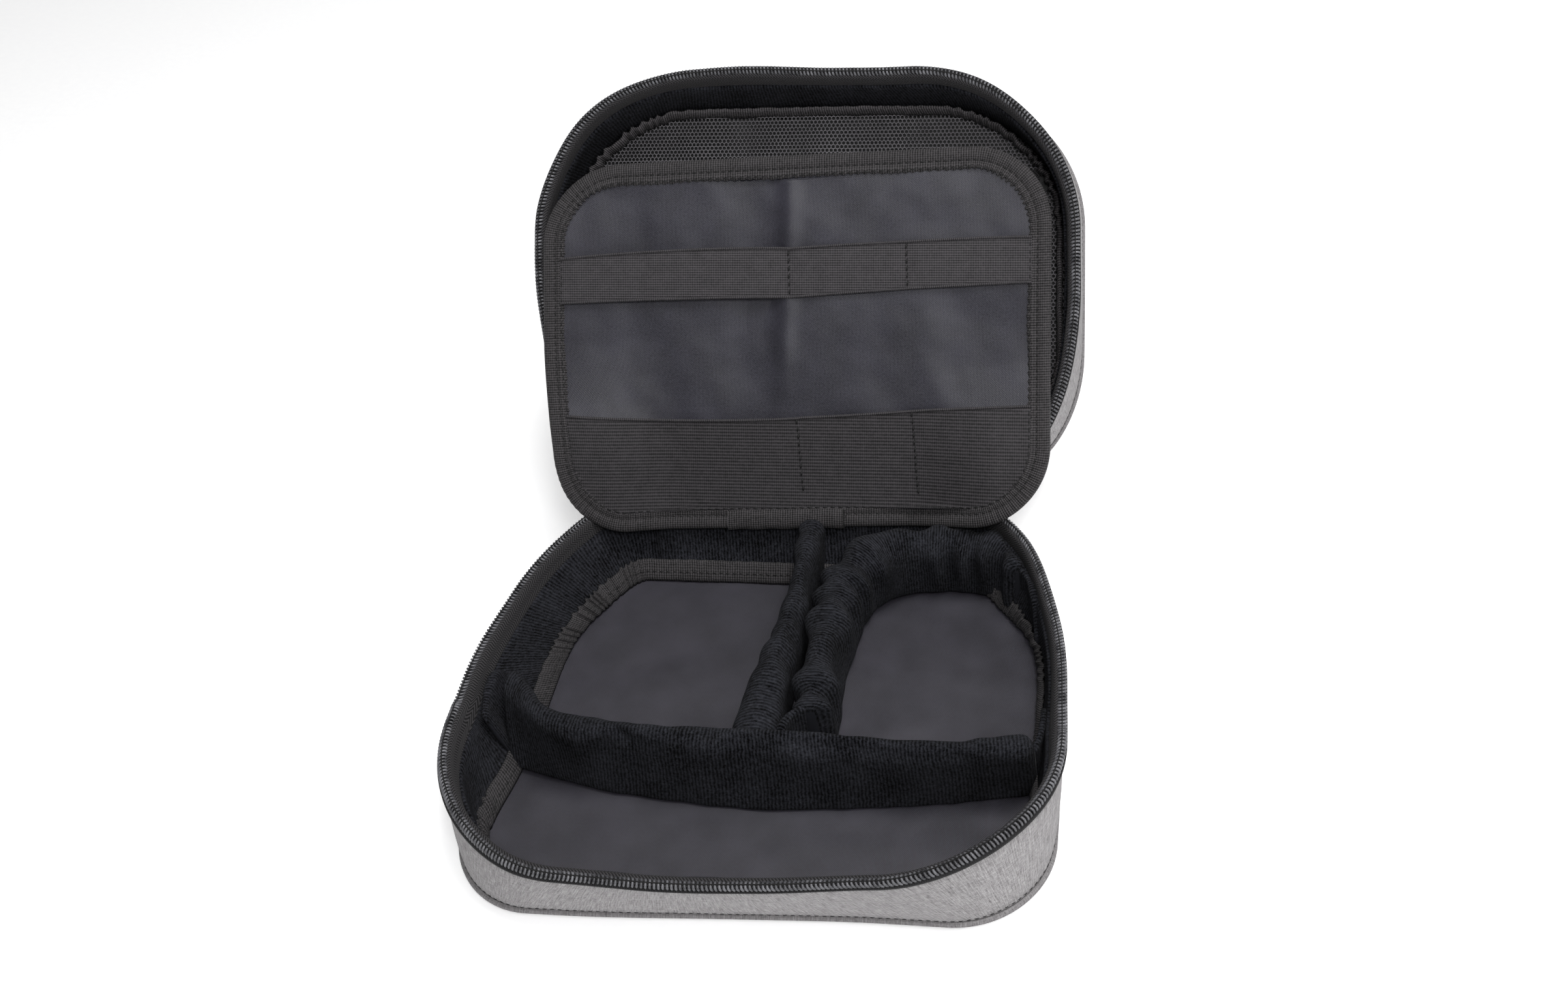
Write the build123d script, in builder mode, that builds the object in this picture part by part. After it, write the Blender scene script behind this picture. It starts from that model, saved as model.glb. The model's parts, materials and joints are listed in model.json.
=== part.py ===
"""Cable organizer pouch: a zip-around soft case that stands open, with a flap and three dividers.

Row frame, millimetres: origin at the centre of the tray's bottom face, +X right, -Y front, +Z up.
Each half of the case is built in its own frame: outer face at 0, rim plane at shell_height, hinge at +Y.
"""
from build123d import *
from math import cos, hypot, radians, sin
import os

os.makedirs("parts", exist_ok=True)

# ---- Driving dimensions ---------------------------------------------------------------------
case_width = 250
case_depth = 196
shell_height = 38            # one half of the closed case
lid_angle = 123              # how far the lid stands open from closed
flap_lean = 3                # the flap leans this far into the lid

# Plan shape of a half: long elliptical back corners and round front corners, fuller at the bottom
rim_inset_at_bottom = 2.6    # the walls lean out by this much from bottom to rim
corner_start_rim, corner_start_bottom = 76, 78.4      # half width of the straight back edge
corner_reach_rim, corner_reach_bottom = 112, 80       # length of the back corners along Y
front_radius_rim, front_radius_bottom = 66, 42

# Layers of the wall, as insets from its outside
gap = 0.1
cut_margin = 1               # how far a cutting block reaches past what it cuts
fabric = 1.2
foam_in, foam_out = fabric + gap, 3.9
lining_out, lining_in = foam_out + gap, 5.5
tape_in = 4.9
binding_out, binding_in = lining_in + gap, 7.6
mesh_inset = 8.0
pan_foot_inset, pan_foot_inner, pan_lip_inner = 3.0, 3.4, 1.4
board_foot_inset, board_lip_inset = 3.6, 2.1

# Heights above the outer face
pan_height = 3.8
piping_low, piping_high, piping_proud = 3.9, 6.1, 0.9
board_low, board_high = 1.3, 3.3
floor_low, floor_high = 3.4, 4.2
wall_top = 33.2
lining_top = 25.8
tape_low, tape_high = 26.0, 37.4
hinge_tape_high = 32.9       # stays under the flap's lower edge when the case is closed
coil_low, coil_high = 34.9, 37.7
binding_top = 11.0

# Hinge
hinge_standoff = 1.6         # the hinge line runs this far behind the back walls
hinge_half_width = 72
coil_end = 76.5              # half width of the gap between the zipper's two ends
stop_thickness = 1.8
spine_low = 22.0
spine_out, spine_in = 1.3, 0.1

# Flap, in its own frame: pivot line at y = 0
flap_rise, flap_forward = 3.0, 2.0      # pivot above the lid's rim plane, and along it from the hinge line
flap_low, flap_high = 1.5, 157
flap_half_width = 112
flap_corner_start, flap_corner_top = 58, 80
flap_corner_radius = 37
flap_board_half, flap_skin = 0.6, 0.4
flap_half_thickness = 1.7
flap_binding_width = 10
strap_thickness = 1.0
stitch_width, stitch_height = 1.2, 0.3
upper_strap = (92, 113)                 # low and high edges along the flap
lower_strap = (12, 40)
upper_stitches = (-5, 49)
lower_stitches = (0, 53)
hinge_strip_half, hinge_strip_short = 0.3, 1    # the strip stops just short of the pivot line

# Dividers
divider_low = 4.5
divider_core_clearance = 0.1
cover_thickness = 1.5
tab_low, tab_high, tab_width, tab_thickness = 13, 30, 9, 1.4
end_tab_out, back_tab_out = 1.8, 1.0    # middle of a tab beyond the divider it is sewn to
arch_tab_x = 55
long_end, long_end_y, long_middle_y = 113.2, -33, -43
long_thickness, long_top = 11, 35
mid_x, mid_front, mid_back = 5, -36.6, 89.6
mid_thickness, low_top = 11, 32
arch_thickness = 10
arch_points = ((17.5, -17), (19, 82), (88, 82), (104.5, 32))
arch_radii = (27, 22)

# Zipper sliders on the rim
slider_angle = 16            # place on the back corner's ellipse, degrees from its start
slider_length, slider_travel = 9, 6
slider_plate = (0.5, 1.8)    # outside the wall
slider_low, slider_high = 28.5, 37.6
hook_low, hook_high, hook_reach = 33.5, 34.6, -3.0
ear_inner, ear_outer, ear_proud, ear_low, ear_high = 2.4, 3.4, 4.4, 34.0, 37.0
pivot_proud, pivot_height = 3.1, 35.5
pin_radius, pin_hole = 0.4, 0.5
pull_half_width, pull_half_thickness, pull_low, pull_over = 2.1, 0.6, 12, 0.6
pull_grip_half, pull_neck = 3.2, 26

# Mesh pocket in the lid
mesh_low, mesh_high = 5.0, 5.8
pocket_y, pocket_tape_half, pocket_half_length = -42, 6, 106
pocket_mesh_gap = 3.0
pocket_tape_low, pocket_tape_high = 5.9, 6.5
pocket_coil_half, pocket_coil_high = 2.0, 8.4
pocket_coil_short = 2        # the coil stops this far short of each end of its tape
pocket_slider_x, pocket_slider_half = 98, 5
pocket_slider_side, pocket_slider_wall, pocket_slider_top = 4.0, 1.6, 10.0
pocket_ear_top, pocket_ear_length, pocket_pin_rise = 12.4, 3, 1.2
pocket_pull_length = 17

# ---- Frames ---------------------------------------------------------------------------------
half_depth = case_depth / 2
hinge_y, hinge_z = half_depth + hinge_standoff, shell_height
tray_frame = Plane.XY
closed_lid = Plane(origin=(0, 0, 2 * shell_height), x_dir=(-1, 0, 0), z_dir=(0, 0, -1))
swing = Location((0, hinge_y, hinge_z)) * Location((0, 0, 0), (-lid_angle, 0, 0))
lid_frame = Plane(swing * Location((0, -hinge_y, -hinge_z)) * closed_lid.location)
flap_angle = radians(lid_angle + flap_lean)
flap_pivot = lid_frame.from_local_coords((0, hinge_y - flap_forward, shell_height + flap_rise))
flap_frame = Plane(flap_pivot, x_dir=(1, 0, 0), z_dir=(0, -sin(flap_angle), -cos(flap_angle)))


def save(piece, name):
    """Label a finished piece and write its STEP."""
    piece.label = name
    export_step(piece, f"parts/{name}.step")


def between(bottom, rim, level):
    """A size at a height, where it changes evenly from the bottom to the rim."""
    return bottom + (rim - bottom) * level / shell_height


def section(frame, level, inset):
    """The plan shape of a half at a height, inset from its outside."""
    lean = between(rim_inset_at_bottom, 0, level)
    half = case_width / 2 - lean - inset
    back, front = half_depth - inset, -half_depth + lean + inset
    start = between(corner_start_bottom, corner_start_rim, level)
    reach = between(corner_reach_bottom, corner_reach_rim, level) - inset
    radius = between(front_radius_bottom, front_radius_rim, level) - inset
    with BuildSketch(frame.offset(level)) as shape:
        with BuildLine():
            Line((0, back), (start, back))
            EllipticalCenterArc((start, back - reach), half - start, reach, start_angle=0, arc_size=90)
            Line((half, back - reach), (half, front + radius))
            CenterArc((half - radius, front + radius), radius, -90, 90)
            Line((half - radius, front), (0, front))
            mirror(about=Plane.YZ)
        make_face()
    return shape.sketch


def sections(frame, low, high, inset, high_inset=None):
    """The two ends of a loft that follows the wall."""
    return [section(frame, low, inset), section(frame, high, inset if high_inset is None else high_inset)]


def ring(frame, low, high, outer, inner):
    """A layer of the wall, between two insets and two heights."""
    with BuildPart() as layer:
        loft(sections(frame, low, high, outer), ruled=True)
        loft(sections(frame, low, high, inner), ruled=True, mode=Mode.SUBTRACT)
    return layer.part


def back_block(frame, half_width, low, high):
    """A block over the straight back edge, which parts the zipper from the hinge."""
    with BuildPart() as block:
        with BuildSketch(frame.offset(low)):
            with Locations((0, half_depth)):
                Rectangle(2 * half_width, 4 * binding_in)
        extrude(amount=high - low)
    return block.part


# ---- The two halves of the case -------------------------------------------------------------
for half, frame in (("tray", tray_frame), ("lid", lid_frame)):
    with BuildPart() as outer_panel:
        loft(sections(frame, 0, pan_height, pan_foot_inset, gap), ruled=True)
        inside = sections(frame, fabric, pan_height, pan_foot_inner, pan_lip_inner)
        loft(inside, ruled=True, mode=Mode.SUBTRACT)
    save(outer_panel.part, f"{half}_outer_panel")

    with BuildPart() as piping:
        add(ring(frame, piping_low, piping_high, -piping_proud, fabric))
    save(piping.part, f"{half}_piping")

    with BuildPart() as outer_wall:
        add(ring(frame, piping_high + gap, wall_top, 0, fabric))
    save(outer_wall.part, f"{half}_outer_wall")

    with BuildPart() as wall_foam:
        add(ring(frame, piping_low, wall_top, foam_in, foam_out))
    save(wall_foam.part, f"{half}_wall_foam")

    with BuildPart() as panel_board:
        loft(sections(frame, board_low, board_high, board_foot_inset, board_lip_inset), ruled=True)
    save(panel_board.part, f"{half}_panel_board")

    with BuildPart() as panel_lining:
        loft(sections(frame, floor_low, floor_high, lining_out), ruled=True)
    save(panel_lining.part, f"{half}_panel_lining")

    with BuildPart() as wall_lining:
        add(ring(frame, floor_high + gap, lining_top, lining_out, lining_in))
    save(wall_lining.part, f"{half}_wall_lining")

    with BuildPart() as seam_binding:
        add(ring(frame, floor_high + gap, binding_top, binding_out, binding_in))
    save(seam_binding.part, f"{half}_seam_binding")

    with BuildPart() as zipper_tape:
        add(ring(frame, tape_low, tape_high, lining_out, tape_in))
        hinge_room = back_block(
            frame, hinge_half_width + cut_margin, tape_low - cut_margin, tape_high + cut_margin,
        )
        add(hinge_room, mode=Mode.SUBTRACT)
    save(zipper_tape.part, f"{half}_zipper_tape")

    with BuildPart() as zipper_coil:
        add(ring(frame, coil_low, coil_high, fabric + gap, foam_out))
        coil_gap = back_block(frame, coil_end, coil_low - cut_margin, coil_high + cut_margin)
        add(coil_gap, mode=Mode.SUBTRACT)
    save(zipper_coil.part, f"{half}_zipper_coil")

    with BuildPart() as zipper_stops:
        with BuildSketch(frame.offset(coil_low)):
            with Locations((0, half_depth - (foam_in + foam_out) / 2)):
                with GridLocations(2 * coil_end - stop_thickness - 2 * gap, 0, 2, 1):
                    Rectangle(stop_thickness, foam_out - foam_in)
        extrude(amount=coil_high - coil_low)
    save(zipper_stops.part, f"{half}_zipper_stops")

    with BuildPart() as hinge_tape:
        with BuildSketch(frame.offset(tape_low)):
            with Locations((0, half_depth - (lining_out + tape_in) / 2)):
                Rectangle(2 * hinge_half_width, tape_in - lining_out)
        extrude(amount=hinge_tape_high - tape_low)
    save(hinge_tape.part, f"{half}_hinge_tape")

    with BuildPart() as hinge_spine:
        with BuildSketch(frame.offset(spine_low)):
            with Locations((0, half_depth + (spine_in + spine_out) / 2)):
                Rectangle(2 * hinge_half_width, spine_out - spine_in)
        extrude(amount=coil_high - spine_low)
    save(hinge_spine.part, f"{half}_hinge_spine")

# ---- Mesh pocket in the lid -----------------------------------------------------------------
mesh_edges = (
    ("lower", pocket_y + pocket_mesh_gap, half_depth),
    ("upper", -half_depth, pocket_y - pocket_mesh_gap),
)
for name, low_edge, high_edge in mesh_edges:
    with BuildPart() as pocket_mesh:
        loft(sections(lid_frame, mesh_low, mesh_high, mesh_inset), ruled=True)
        with BuildSketch(lid_frame.offset(mesh_low - cut_margin)):
            with Locations((0, (low_edge + high_edge) / 2)):
                Rectangle(case_width, high_edge - low_edge)
        extrude(amount=mesh_high - mesh_low + 2 * cut_margin, mode=Mode.INTERSECT)
    save(pocket_mesh.part, f"pocket_mesh_{name}")

with BuildPart() as pocket_zipper_tape:
    with BuildSketch(lid_frame.offset(pocket_tape_low)):
        with Locations((0, pocket_y)):
            Rectangle(2 * pocket_half_length, 2 * pocket_tape_half)
    extrude(amount=pocket_tape_high - pocket_tape_low)
save(pocket_zipper_tape.part, "pocket_zipper_tape")

with BuildPart() as pocket_zipper_coil:
    with BuildSketch(lid_frame.offset(pocket_tape_high + gap)):
        with Locations((0, pocket_y)):
            Rectangle(2 * (pocket_half_length - pocket_coil_short), 2 * pocket_coil_half)
    extrude(amount=pocket_coil_high - pocket_tape_high - gap)
save(pocket_zipper_coil.part, "pocket_zipper_coil")

# The lid's own X runs the other way, so the slider at the right end stands at -X there
slider_floor = pocket_tape_high + 3 * gap
pocket_pivot_z = pocket_slider_top + pocket_pin_rise
with BuildPart() as pocket_slider:
    with BuildSketch(lid_frame.offset(slider_floor)):
        with Locations((-pocket_slider_x, pocket_y)):
            Rectangle(2 * pocket_slider_half, 2 * pocket_slider_side)
            Rectangle(2 * pocket_slider_half, 2 * (pocket_slider_side - pocket_slider_wall), mode=Mode.SUBTRACT)
    extrude(amount=pocket_slider_top - slider_floor)
    with BuildSketch(lid_frame.offset(pocket_coil_high + 3 * gap)):
        with Locations((-pocket_slider_x, pocket_y)):
            Rectangle(2 * pocket_slider_half, 2 * pocket_slider_side)
    extrude(amount=pocket_slider_top - pocket_coil_high - 3 * gap)
    with BuildSketch(lid_frame.offset(pocket_slider_top)):
        with Locations((-pocket_slider_x, pocket_y)):
            with GridLocations(ear_inner + ear_outer, 0, 2, 1):
                Rectangle(ear_outer - ear_inner, pocket_ear_length)
    extrude(amount=pocket_ear_top - pocket_slider_top)
    pin_start = lid_frame.from_local_coords((-pocket_slider_x - ear_inner, pocket_y, pocket_pivot_z))
    with BuildSketch(Plane(pin_start, z_dir=lid_frame.x_dir)):
        Circle(pin_radius)
    extrude(amount=2 * ear_inner)
save(pocket_slider.part, "pocket_slider")

with BuildPart() as pocket_pull:
    with BuildSketch(lid_frame.offset(pocket_pivot_z - pull_half_thickness)):
        with Locations((-pocket_slider_x, pocket_y + pocket_pull_length / 2)):
            Rectangle(2 * pull_half_width, pocket_pull_length + 2 * pull_over)
        with Locations((-pocket_slider_x, pocket_y + pocket_pull_length - pull_half_width)):
            Circle(pull_grip_half)
    extrude(amount=2 * pull_half_thickness)
    pull_side = lid_frame.from_local_coords((-pocket_slider_x - pull_grip_half, pocket_y, pocket_pivot_z))
    with BuildSketch(Plane(pull_side, z_dir=lid_frame.x_dir)):
        Circle(pin_hole)
    extrude(amount=2 * pull_grip_half, mode=Mode.SUBTRACT)
save(pocket_pull.part, "pocket_pull")

# ---- Zipper sliders and pulls at the ends of the rim zipper ---------------------------------
corner_width = case_width / 2 - corner_start_rim
ride_angle = radians(slider_angle)
ride_x = corner_start_rim + corner_width * sin(ride_angle)
ride_y = half_depth - corner_reach_rim * (1 - cos(ride_angle))
along_x, along_y = corner_width * cos(ride_angle), -corner_reach_rim * sin(ride_angle)
along_size = hypot(along_x, along_y)

for side, hand in (("left", -1), ("right", 1)):
    along = (hand * along_x / along_size, along_y / along_size, 0)
    outward = (-hand * along_y / along_size, along_x / along_size, 0)
    rest_shift = -slider_travel / 2
    # Its Y points out of the case at the right and into it at the left, so hand turns it outward
    ride = Plane((hand * ride_x, ride_y, 0), x_dir=along, z_dir=(0, 0, 1))
    with BuildPart() as slider:
        for low, high, near, far in (
            (slider_low, slider_high, *slider_plate),
            (hook_low, hook_high, hook_reach, slider_plate[1]),
        ):
            with BuildSketch(ride.offset(low)):
                with Locations((rest_shift, hand * (near + far) / 2)):
                    Rectangle(slider_length, far - near)
            extrude(amount=high - low)
        with BuildSketch(ride.offset(ear_low)):
            with Locations((rest_shift, hand * (slider_plate[1] + ear_proud) / 2)):
                with GridLocations(ear_inner + ear_outer, 0, 2, 1):
                    Rectangle(ear_outer - ear_inner, ear_proud - slider_plate[1])
        extrude(amount=ear_high - ear_low)
        pin_start = ride.from_local_coords((rest_shift - ear_inner, hand * pivot_proud, pivot_height))
        with BuildSketch(Plane(pin_start, z_dir=ride.x_dir)):
            Circle(pin_radius)
        extrude(amount=2 * ear_inner)
    save(slider.part, f"zipper_slider_{side}")

    pull_plane = ride.from_local_coords((rest_shift, hand * pivot_proud, 0))
    face = Plane(pull_plane, x_dir=ride.x_dir, z_dir=outward)
    with BuildPart() as pull:
        with BuildSketch(face.offset(-pull_half_thickness)):
            with Locations((0, -hand * (pull_low + pivot_height + pull_over) / 2)):
                Rectangle(2 * pull_half_width, pivot_height + pull_over - pull_low)
            with Locations((0, -hand * (pull_low + pull_neck) / 2)):
                Rectangle(2 * pull_grip_half, pull_neck - pull_low)
        extrude(amount=2 * pull_half_thickness)
        hole_start = ride.from_local_coords((rest_shift - pull_grip_half, hand * pivot_proud, pivot_height))
        with BuildSketch(Plane(hole_start, z_dir=ride.x_dir)):
            Circle(pin_hole)
        extrude(amount=2 * pull_grip_half, mode=Mode.SUBTRACT)
    save(pull.part, f"zipper_pull_{side}")


# ---- Flap -----------------------------------------------------------------------------------
def flap_section(level, inset):
    """The flap's outline at a height above its middle plane, inset from its edge."""
    half, low, high = flap_half_width - inset, flap_low + inset, flap_high - inset
    radius = flap_corner_radius - inset
    with BuildSketch(flap_frame.offset(level)) as shape:
        with BuildLine():
            Line((0, low), (flap_corner_start, low))
            EllipticalCenterArc(
                (flap_corner_start, flap_corner_top), half - flap_corner_start, flap_corner_top - low,
                start_angle=-90, arc_size=90,
            )
            Line((half, flap_corner_top), (half, high - radius))
            CenterArc((half - radius, high - radius), radius, 0, 90)
            Line((half - radius, high), (0, high))
            mirror(about=Plane.YZ)
        make_face()
    return shape.sketch


skin_inset = 1.7
skin_low = flap_board_half + gap
with BuildPart() as flap_board:
    extrude(flap_section(-flap_board_half, skin_inset), amount=2 * flap_board_half)
save(flap_board.part, "flap_board")

for name, level in (("front", skin_low), ("back", -skin_low - flap_skin)):
    with BuildPart() as flap_fabric:
        extrude(flap_section(level, skin_inset), amount=flap_skin)
    save(flap_fabric.part, f"flap_{name}_fabric")

with BuildPart() as flap_binding:
    core = skin_low + flap_skin + gap
    extrude(flap_section(-flap_half_thickness, 0), amount=2 * flap_half_thickness)
    extrude(flap_section(-core, skin_inset - gap), amount=2 * core, mode=Mode.SUBTRACT)
    extrude(
        flap_section(-flap_half_thickness, flap_binding_width), amount=2 * flap_half_thickness,
        mode=Mode.SUBTRACT,
    )
save(flap_binding.part, "flap_binding")

strap_low = skin_low + flap_skin + gap
strap_top = strap_low + strap_thickness
for name, (low_edge, high_edge) in (("upper", upper_strap), ("lower", lower_strap)):
    with BuildPart() as elastic:
        extrude(flap_section(strap_low, flap_binding_width + gap), amount=strap_thickness)
        with BuildSketch(flap_frame):
            with Locations((0, (low_edge + high_edge) / 2)):
                Rectangle(case_width, high_edge - low_edge)
        extrude(amount=2 * strap_top, mode=Mode.INTERSECT)
    save(elastic.part, f"flap_elastic_{name}")

with BuildPart() as flap_stitching:
    with BuildSketch(flap_frame.offset(strap_top + gap)):
        for (low_edge, high_edge), places in ((upper_strap, upper_stitches), (lower_strap, lower_stitches)):
            with Locations(*[(x, (low_edge + high_edge) / 2) for x in places]):
                Rectangle(stitch_width, high_edge - low_edge)
    extrude(amount=stitch_height)
save(flap_stitching.part, "flap_stitching")

with BuildPart() as flap_hinge_strip:
    with BuildSketch(lid_frame.offset(wall_top + gap)):
        with Locations((0, hinge_y - flap_forward)):
            Rectangle(2 * flap_corner_start, 2 * hinge_strip_half)
    extrude(amount=shell_height + flap_rise - hinge_strip_short - wall_top - gap)
save(flap_hinge_strip.part, "flap_hinge_strip")

# ---- Dividers -------------------------------------------------------------------------------
with BuildLine() as long_path:
    ThreePointArc((-long_end, long_end_y), (0, long_middle_y), (long_end, long_end_y))
with BuildLine() as mid_path:
    Line((mid_x, mid_front), (mid_x, mid_back))
with BuildLine() as arch_path:
    FilletPolyline(*arch_points, radius=arch_radii)

dividers = (
    ("long", long_path.line, long_thickness, long_top),
    ("mid", mid_path.line, mid_thickness, low_top),
    ("arch", arch_path.line, arch_thickness, low_top),
)
for name, path, thickness, top in dividers:
    core_width = thickness - 2 * (cover_thickness + divider_core_clearance)
    core_top = top - cover_thickness - divider_core_clearance
    with BuildPart() as foam_core:
        with BuildSketch(Plane.XY.offset(divider_low)):
            trace(path.edges(), line_width=core_width)
        extrude(amount=core_top - divider_low)
    save(foam_core.part, f"{name}_divider_foam")

    with BuildPart() as fleece_cover:
        with BuildSketch(Plane.XY.offset(divider_low)):
            trace(path.edges(), line_width=thickness)
        extrude(amount=top - divider_low)
        with BuildSketch(Plane.XY.offset(divider_low)):
            trace(path.edges(), line_width=core_width + 2 * divider_core_clearance)
        extrude(amount=core_top + divider_core_clearance - divider_low, mode=Mode.SUBTRACT)
    save(fleece_cover.part, f"{name}_divider_cover")

tab_spots = {
    "long": ((-long_end - end_tab_out, long_end_y, 0), (long_end + end_tab_out, long_end_y, 0)),
    "mid": ((mid_x, mid_back + back_tab_out, 90),),
    "arch": ((arch_tab_x, arch_points[1][1] + arch_thickness / 2 + back_tab_out, 90),),
}
for name, spots in tab_spots.items():
    with BuildPart() as hook_tabs:
        with BuildSketch(Plane.XY.offset(tab_low)):
            for x, y, turn in spots:
                with Locations(Location((x, y, 0), (0, 0, turn))):
                    Rectangle(tab_thickness, tab_width)
        extrude(amount=tab_high - tab_low)
    save(hook_tabs.part, f"{name}_divider_hook_tabs")
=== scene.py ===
"""Cable organizer pouch, standing open: the visible fabric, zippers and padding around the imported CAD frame."""
import json
import math
import random

import bpy
import numpy as np
from mathutils import Matrix, Vector, noise


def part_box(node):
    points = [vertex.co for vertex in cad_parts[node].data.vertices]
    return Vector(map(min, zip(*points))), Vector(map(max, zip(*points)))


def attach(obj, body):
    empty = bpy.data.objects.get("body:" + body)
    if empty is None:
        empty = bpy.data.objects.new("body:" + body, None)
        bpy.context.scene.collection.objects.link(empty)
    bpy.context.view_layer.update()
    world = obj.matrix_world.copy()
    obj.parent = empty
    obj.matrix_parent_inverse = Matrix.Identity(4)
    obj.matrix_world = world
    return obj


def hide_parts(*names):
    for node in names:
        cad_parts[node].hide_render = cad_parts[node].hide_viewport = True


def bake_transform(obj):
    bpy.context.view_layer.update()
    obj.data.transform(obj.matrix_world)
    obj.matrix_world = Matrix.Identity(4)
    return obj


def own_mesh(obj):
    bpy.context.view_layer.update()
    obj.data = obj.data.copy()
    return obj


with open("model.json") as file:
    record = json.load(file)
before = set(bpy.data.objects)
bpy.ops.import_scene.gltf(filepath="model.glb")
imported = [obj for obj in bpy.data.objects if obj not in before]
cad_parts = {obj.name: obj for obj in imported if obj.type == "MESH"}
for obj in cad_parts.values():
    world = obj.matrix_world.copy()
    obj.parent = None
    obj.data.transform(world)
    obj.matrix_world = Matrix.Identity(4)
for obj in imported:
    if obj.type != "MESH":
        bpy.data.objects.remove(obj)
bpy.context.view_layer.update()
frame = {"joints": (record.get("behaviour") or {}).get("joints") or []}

random.seed(7)

# ---- Driving sizes, in metres ---------------------------------------------------------------
MM = 0.001
joints = {joint["name"]: joint for joint in frame["joints"]}
hinge = Vector(joints["lid_hinge"]["pos_m"])
shell_height = hinge.z
lid_angle = math.radians(-joints["lid_hinge"]["range_deg"][0])
flap_pivot = Vector(joints["flap_hinge"]["pos_m"])
flap_angle = lid_angle + math.radians(3)              # the flap leans a little further back than the lid
tape_to_wall = 4.0 * MM
half_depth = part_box("tray_hinge_tape")[1].y + tape_to_wall
half_width = 125 * MM

tray_frame = Matrix.Identity(4)
closed_lid = Matrix.Translation((0, 0, 2 * shell_height)) @ Matrix.Rotation(math.pi, 4, "Y")
opening = Matrix.Translation(hinge) @ Matrix.Rotation(-lid_angle, 4, "X") @ Matrix.Translation(-hinge)
lid_frame = opening @ closed_lid
frames = {"tray": tray_frame, "lid": lid_frame}
bodies = {"tray": "base", "lid": "lid"}
flap_up = Vector((0, -math.cos(flap_angle), math.sin(flap_angle)))
flap_out = Vector((0, -math.sin(flap_angle), -math.cos(flap_angle)))
flap_frame = Matrix((
    (1, 0, 0, flap_pivot.x),
    (0, flap_up.y, flap_out.y, flap_pivot.y),
    (0, flap_up.z, flap_out.z, flap_pivot.z),
    (0, 0, 0, 1),
))

# Plan shape of a half: bottom value, rim value. The CAD's two halves are alike; the real cloth of the
# tray has settled a little squarer in front, and the lid's rounder.
corner_start = (78.4 * MM, 76 * MM)
corner_reach, front_radius = 112 * MM, 66 * MM        # the CAD's rim, which sets every outline's even steps
panel_lean = 2.6 * MM                                 # how far the panel's front edge stands back from the rim
settled_reach = {"tray": (80 * MM, 126 * MM), "lid": (56 * MM, 98 * MM)}
settled_radius = {"tray": (33 * MM, 67 * MM), "lid": (68 * MM, 77 * MM)}
settled_lean = {"tray": (5.1 * MM, 0), "lid": (-1.0 * MM, 0)}
front_lean = {"tray": (2.6 * MM, 0), "lid": (8.0 * MM, 0)}


# ---- Curves and surfaces --------------------------------------------------------------------
def between(pair, level):
    return pair[0] + (pair[1] - pair[0]) * level / shell_height


def smooth_step(low, high, value):
    t = np.clip((value - low) / (high - low), 0, 1)
    return t * t * (3 - 2 * t)


def running(lengths):
    """The lengths so far, from 0."""
    return np.concatenate([[0], np.cumsum(lengths)])


def unit(vectors):
    return vectors / np.linalg.norm(vectors, axis=1, keepdims=True)


def wave(run, pitch):
    return np.sin(2 * math.pi * run / pitch)


def lifted(flat, height):
    """Flat points with a height, one for all or one for each."""
    return np.concatenate([flat, np.broadcast_to(height, flat.shape[:-1])[..., None]], -1)


def resample(values, run, where):
    """Values known along a run, read off at other places of it."""
    return np.stack([np.interp(where, run, column) for column in values.T], -1)


def along_parts(share, marks):
    """Side of a symmetrical outline, how far each of its parts is run through, and which part it is."""
    side = np.where(share <= 0.5, 1.0, -1.0)
    run = np.where(share <= 0.5, share, 1 - share) * 2
    part = [np.clip((run - a) / (b - a), 0, 1) for a, b in zip(marks[:-1], marks[1:])]
    return side, part, [run < mark for mark in marks[1:-1]]


def corner_angles(share):
    """Angles of the long elliptical corner at even steps of its length."""
    angle = np.linspace(math.pi / 2, 0, 200)
    x = (half_width - corner_start[1]) * np.cos(angle)
    y = corner_reach * np.sin(angle)
    length = running(np.hypot(np.diff(x), np.diff(y)))
    return np.interp(share * length[-1], length, angle), length[-1]


corner_length = float(corner_angles(np.array([0.0]))[1])
stretches = np.array([
    corner_start[1],
    corner_length,
    2 * half_depth - corner_reach - front_radius,
    front_radius * math.pi / 2,
    half_width - front_radius,
])
perimeter = 2 * stretches.sum()
breaks = running(stretches) / stretches.sum()


def plan(share, level, inset, half="tray"):
    """Points of a half's outline, in its own frame: share runs from 0 to 1, from the middle back by +X."""
    share, level, inset = np.broadcast_arrays(*(np.asarray(v, float) for v in (share, level, inset)))
    side, part, which = along_parts(share, breaks)
    lean = between(front_lean[half], level)
    wide = half_width - between(settled_lean[half], level) - inset
    back, front = half_depth - inset, -half_depth + lean + inset
    start = between(corner_start, level)
    reach = between(settled_reach[half], level) - inset
    radius = between(settled_radius[half], level) - inset
    angle = corner_angles(part[1])[0]
    turn = part[3] * math.pi / 2
    x = np.select(which, [
        part[0] * start,
        start + (wide - start) * np.cos(angle),
        wide,
        wide - radius + radius * np.cos(turn),
    ], (wide - radius) * (1 - part[4]))
    y = np.select(which, [
        back,
        back - reach + reach * np.sin(angle),
        back - reach + (front + radius - back + reach) * part[2],
        front + radius - radius * np.sin(turn),
    ], front)
    return np.stack([side * x, y, level], -1)


def wobble(points, size, amount, seed):
    """Slow unevenness of hand-sewn cloth: one value for each point."""
    shift = Vector((seed * 3.7, seed * 1.3, seed * 5.1))
    flat = points.reshape(-1, 3) / size
    values = [noise.noise(Vector(p) + shift) for p in flat]
    return np.array(values).reshape(points.shape[:-1]) * amount


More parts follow.
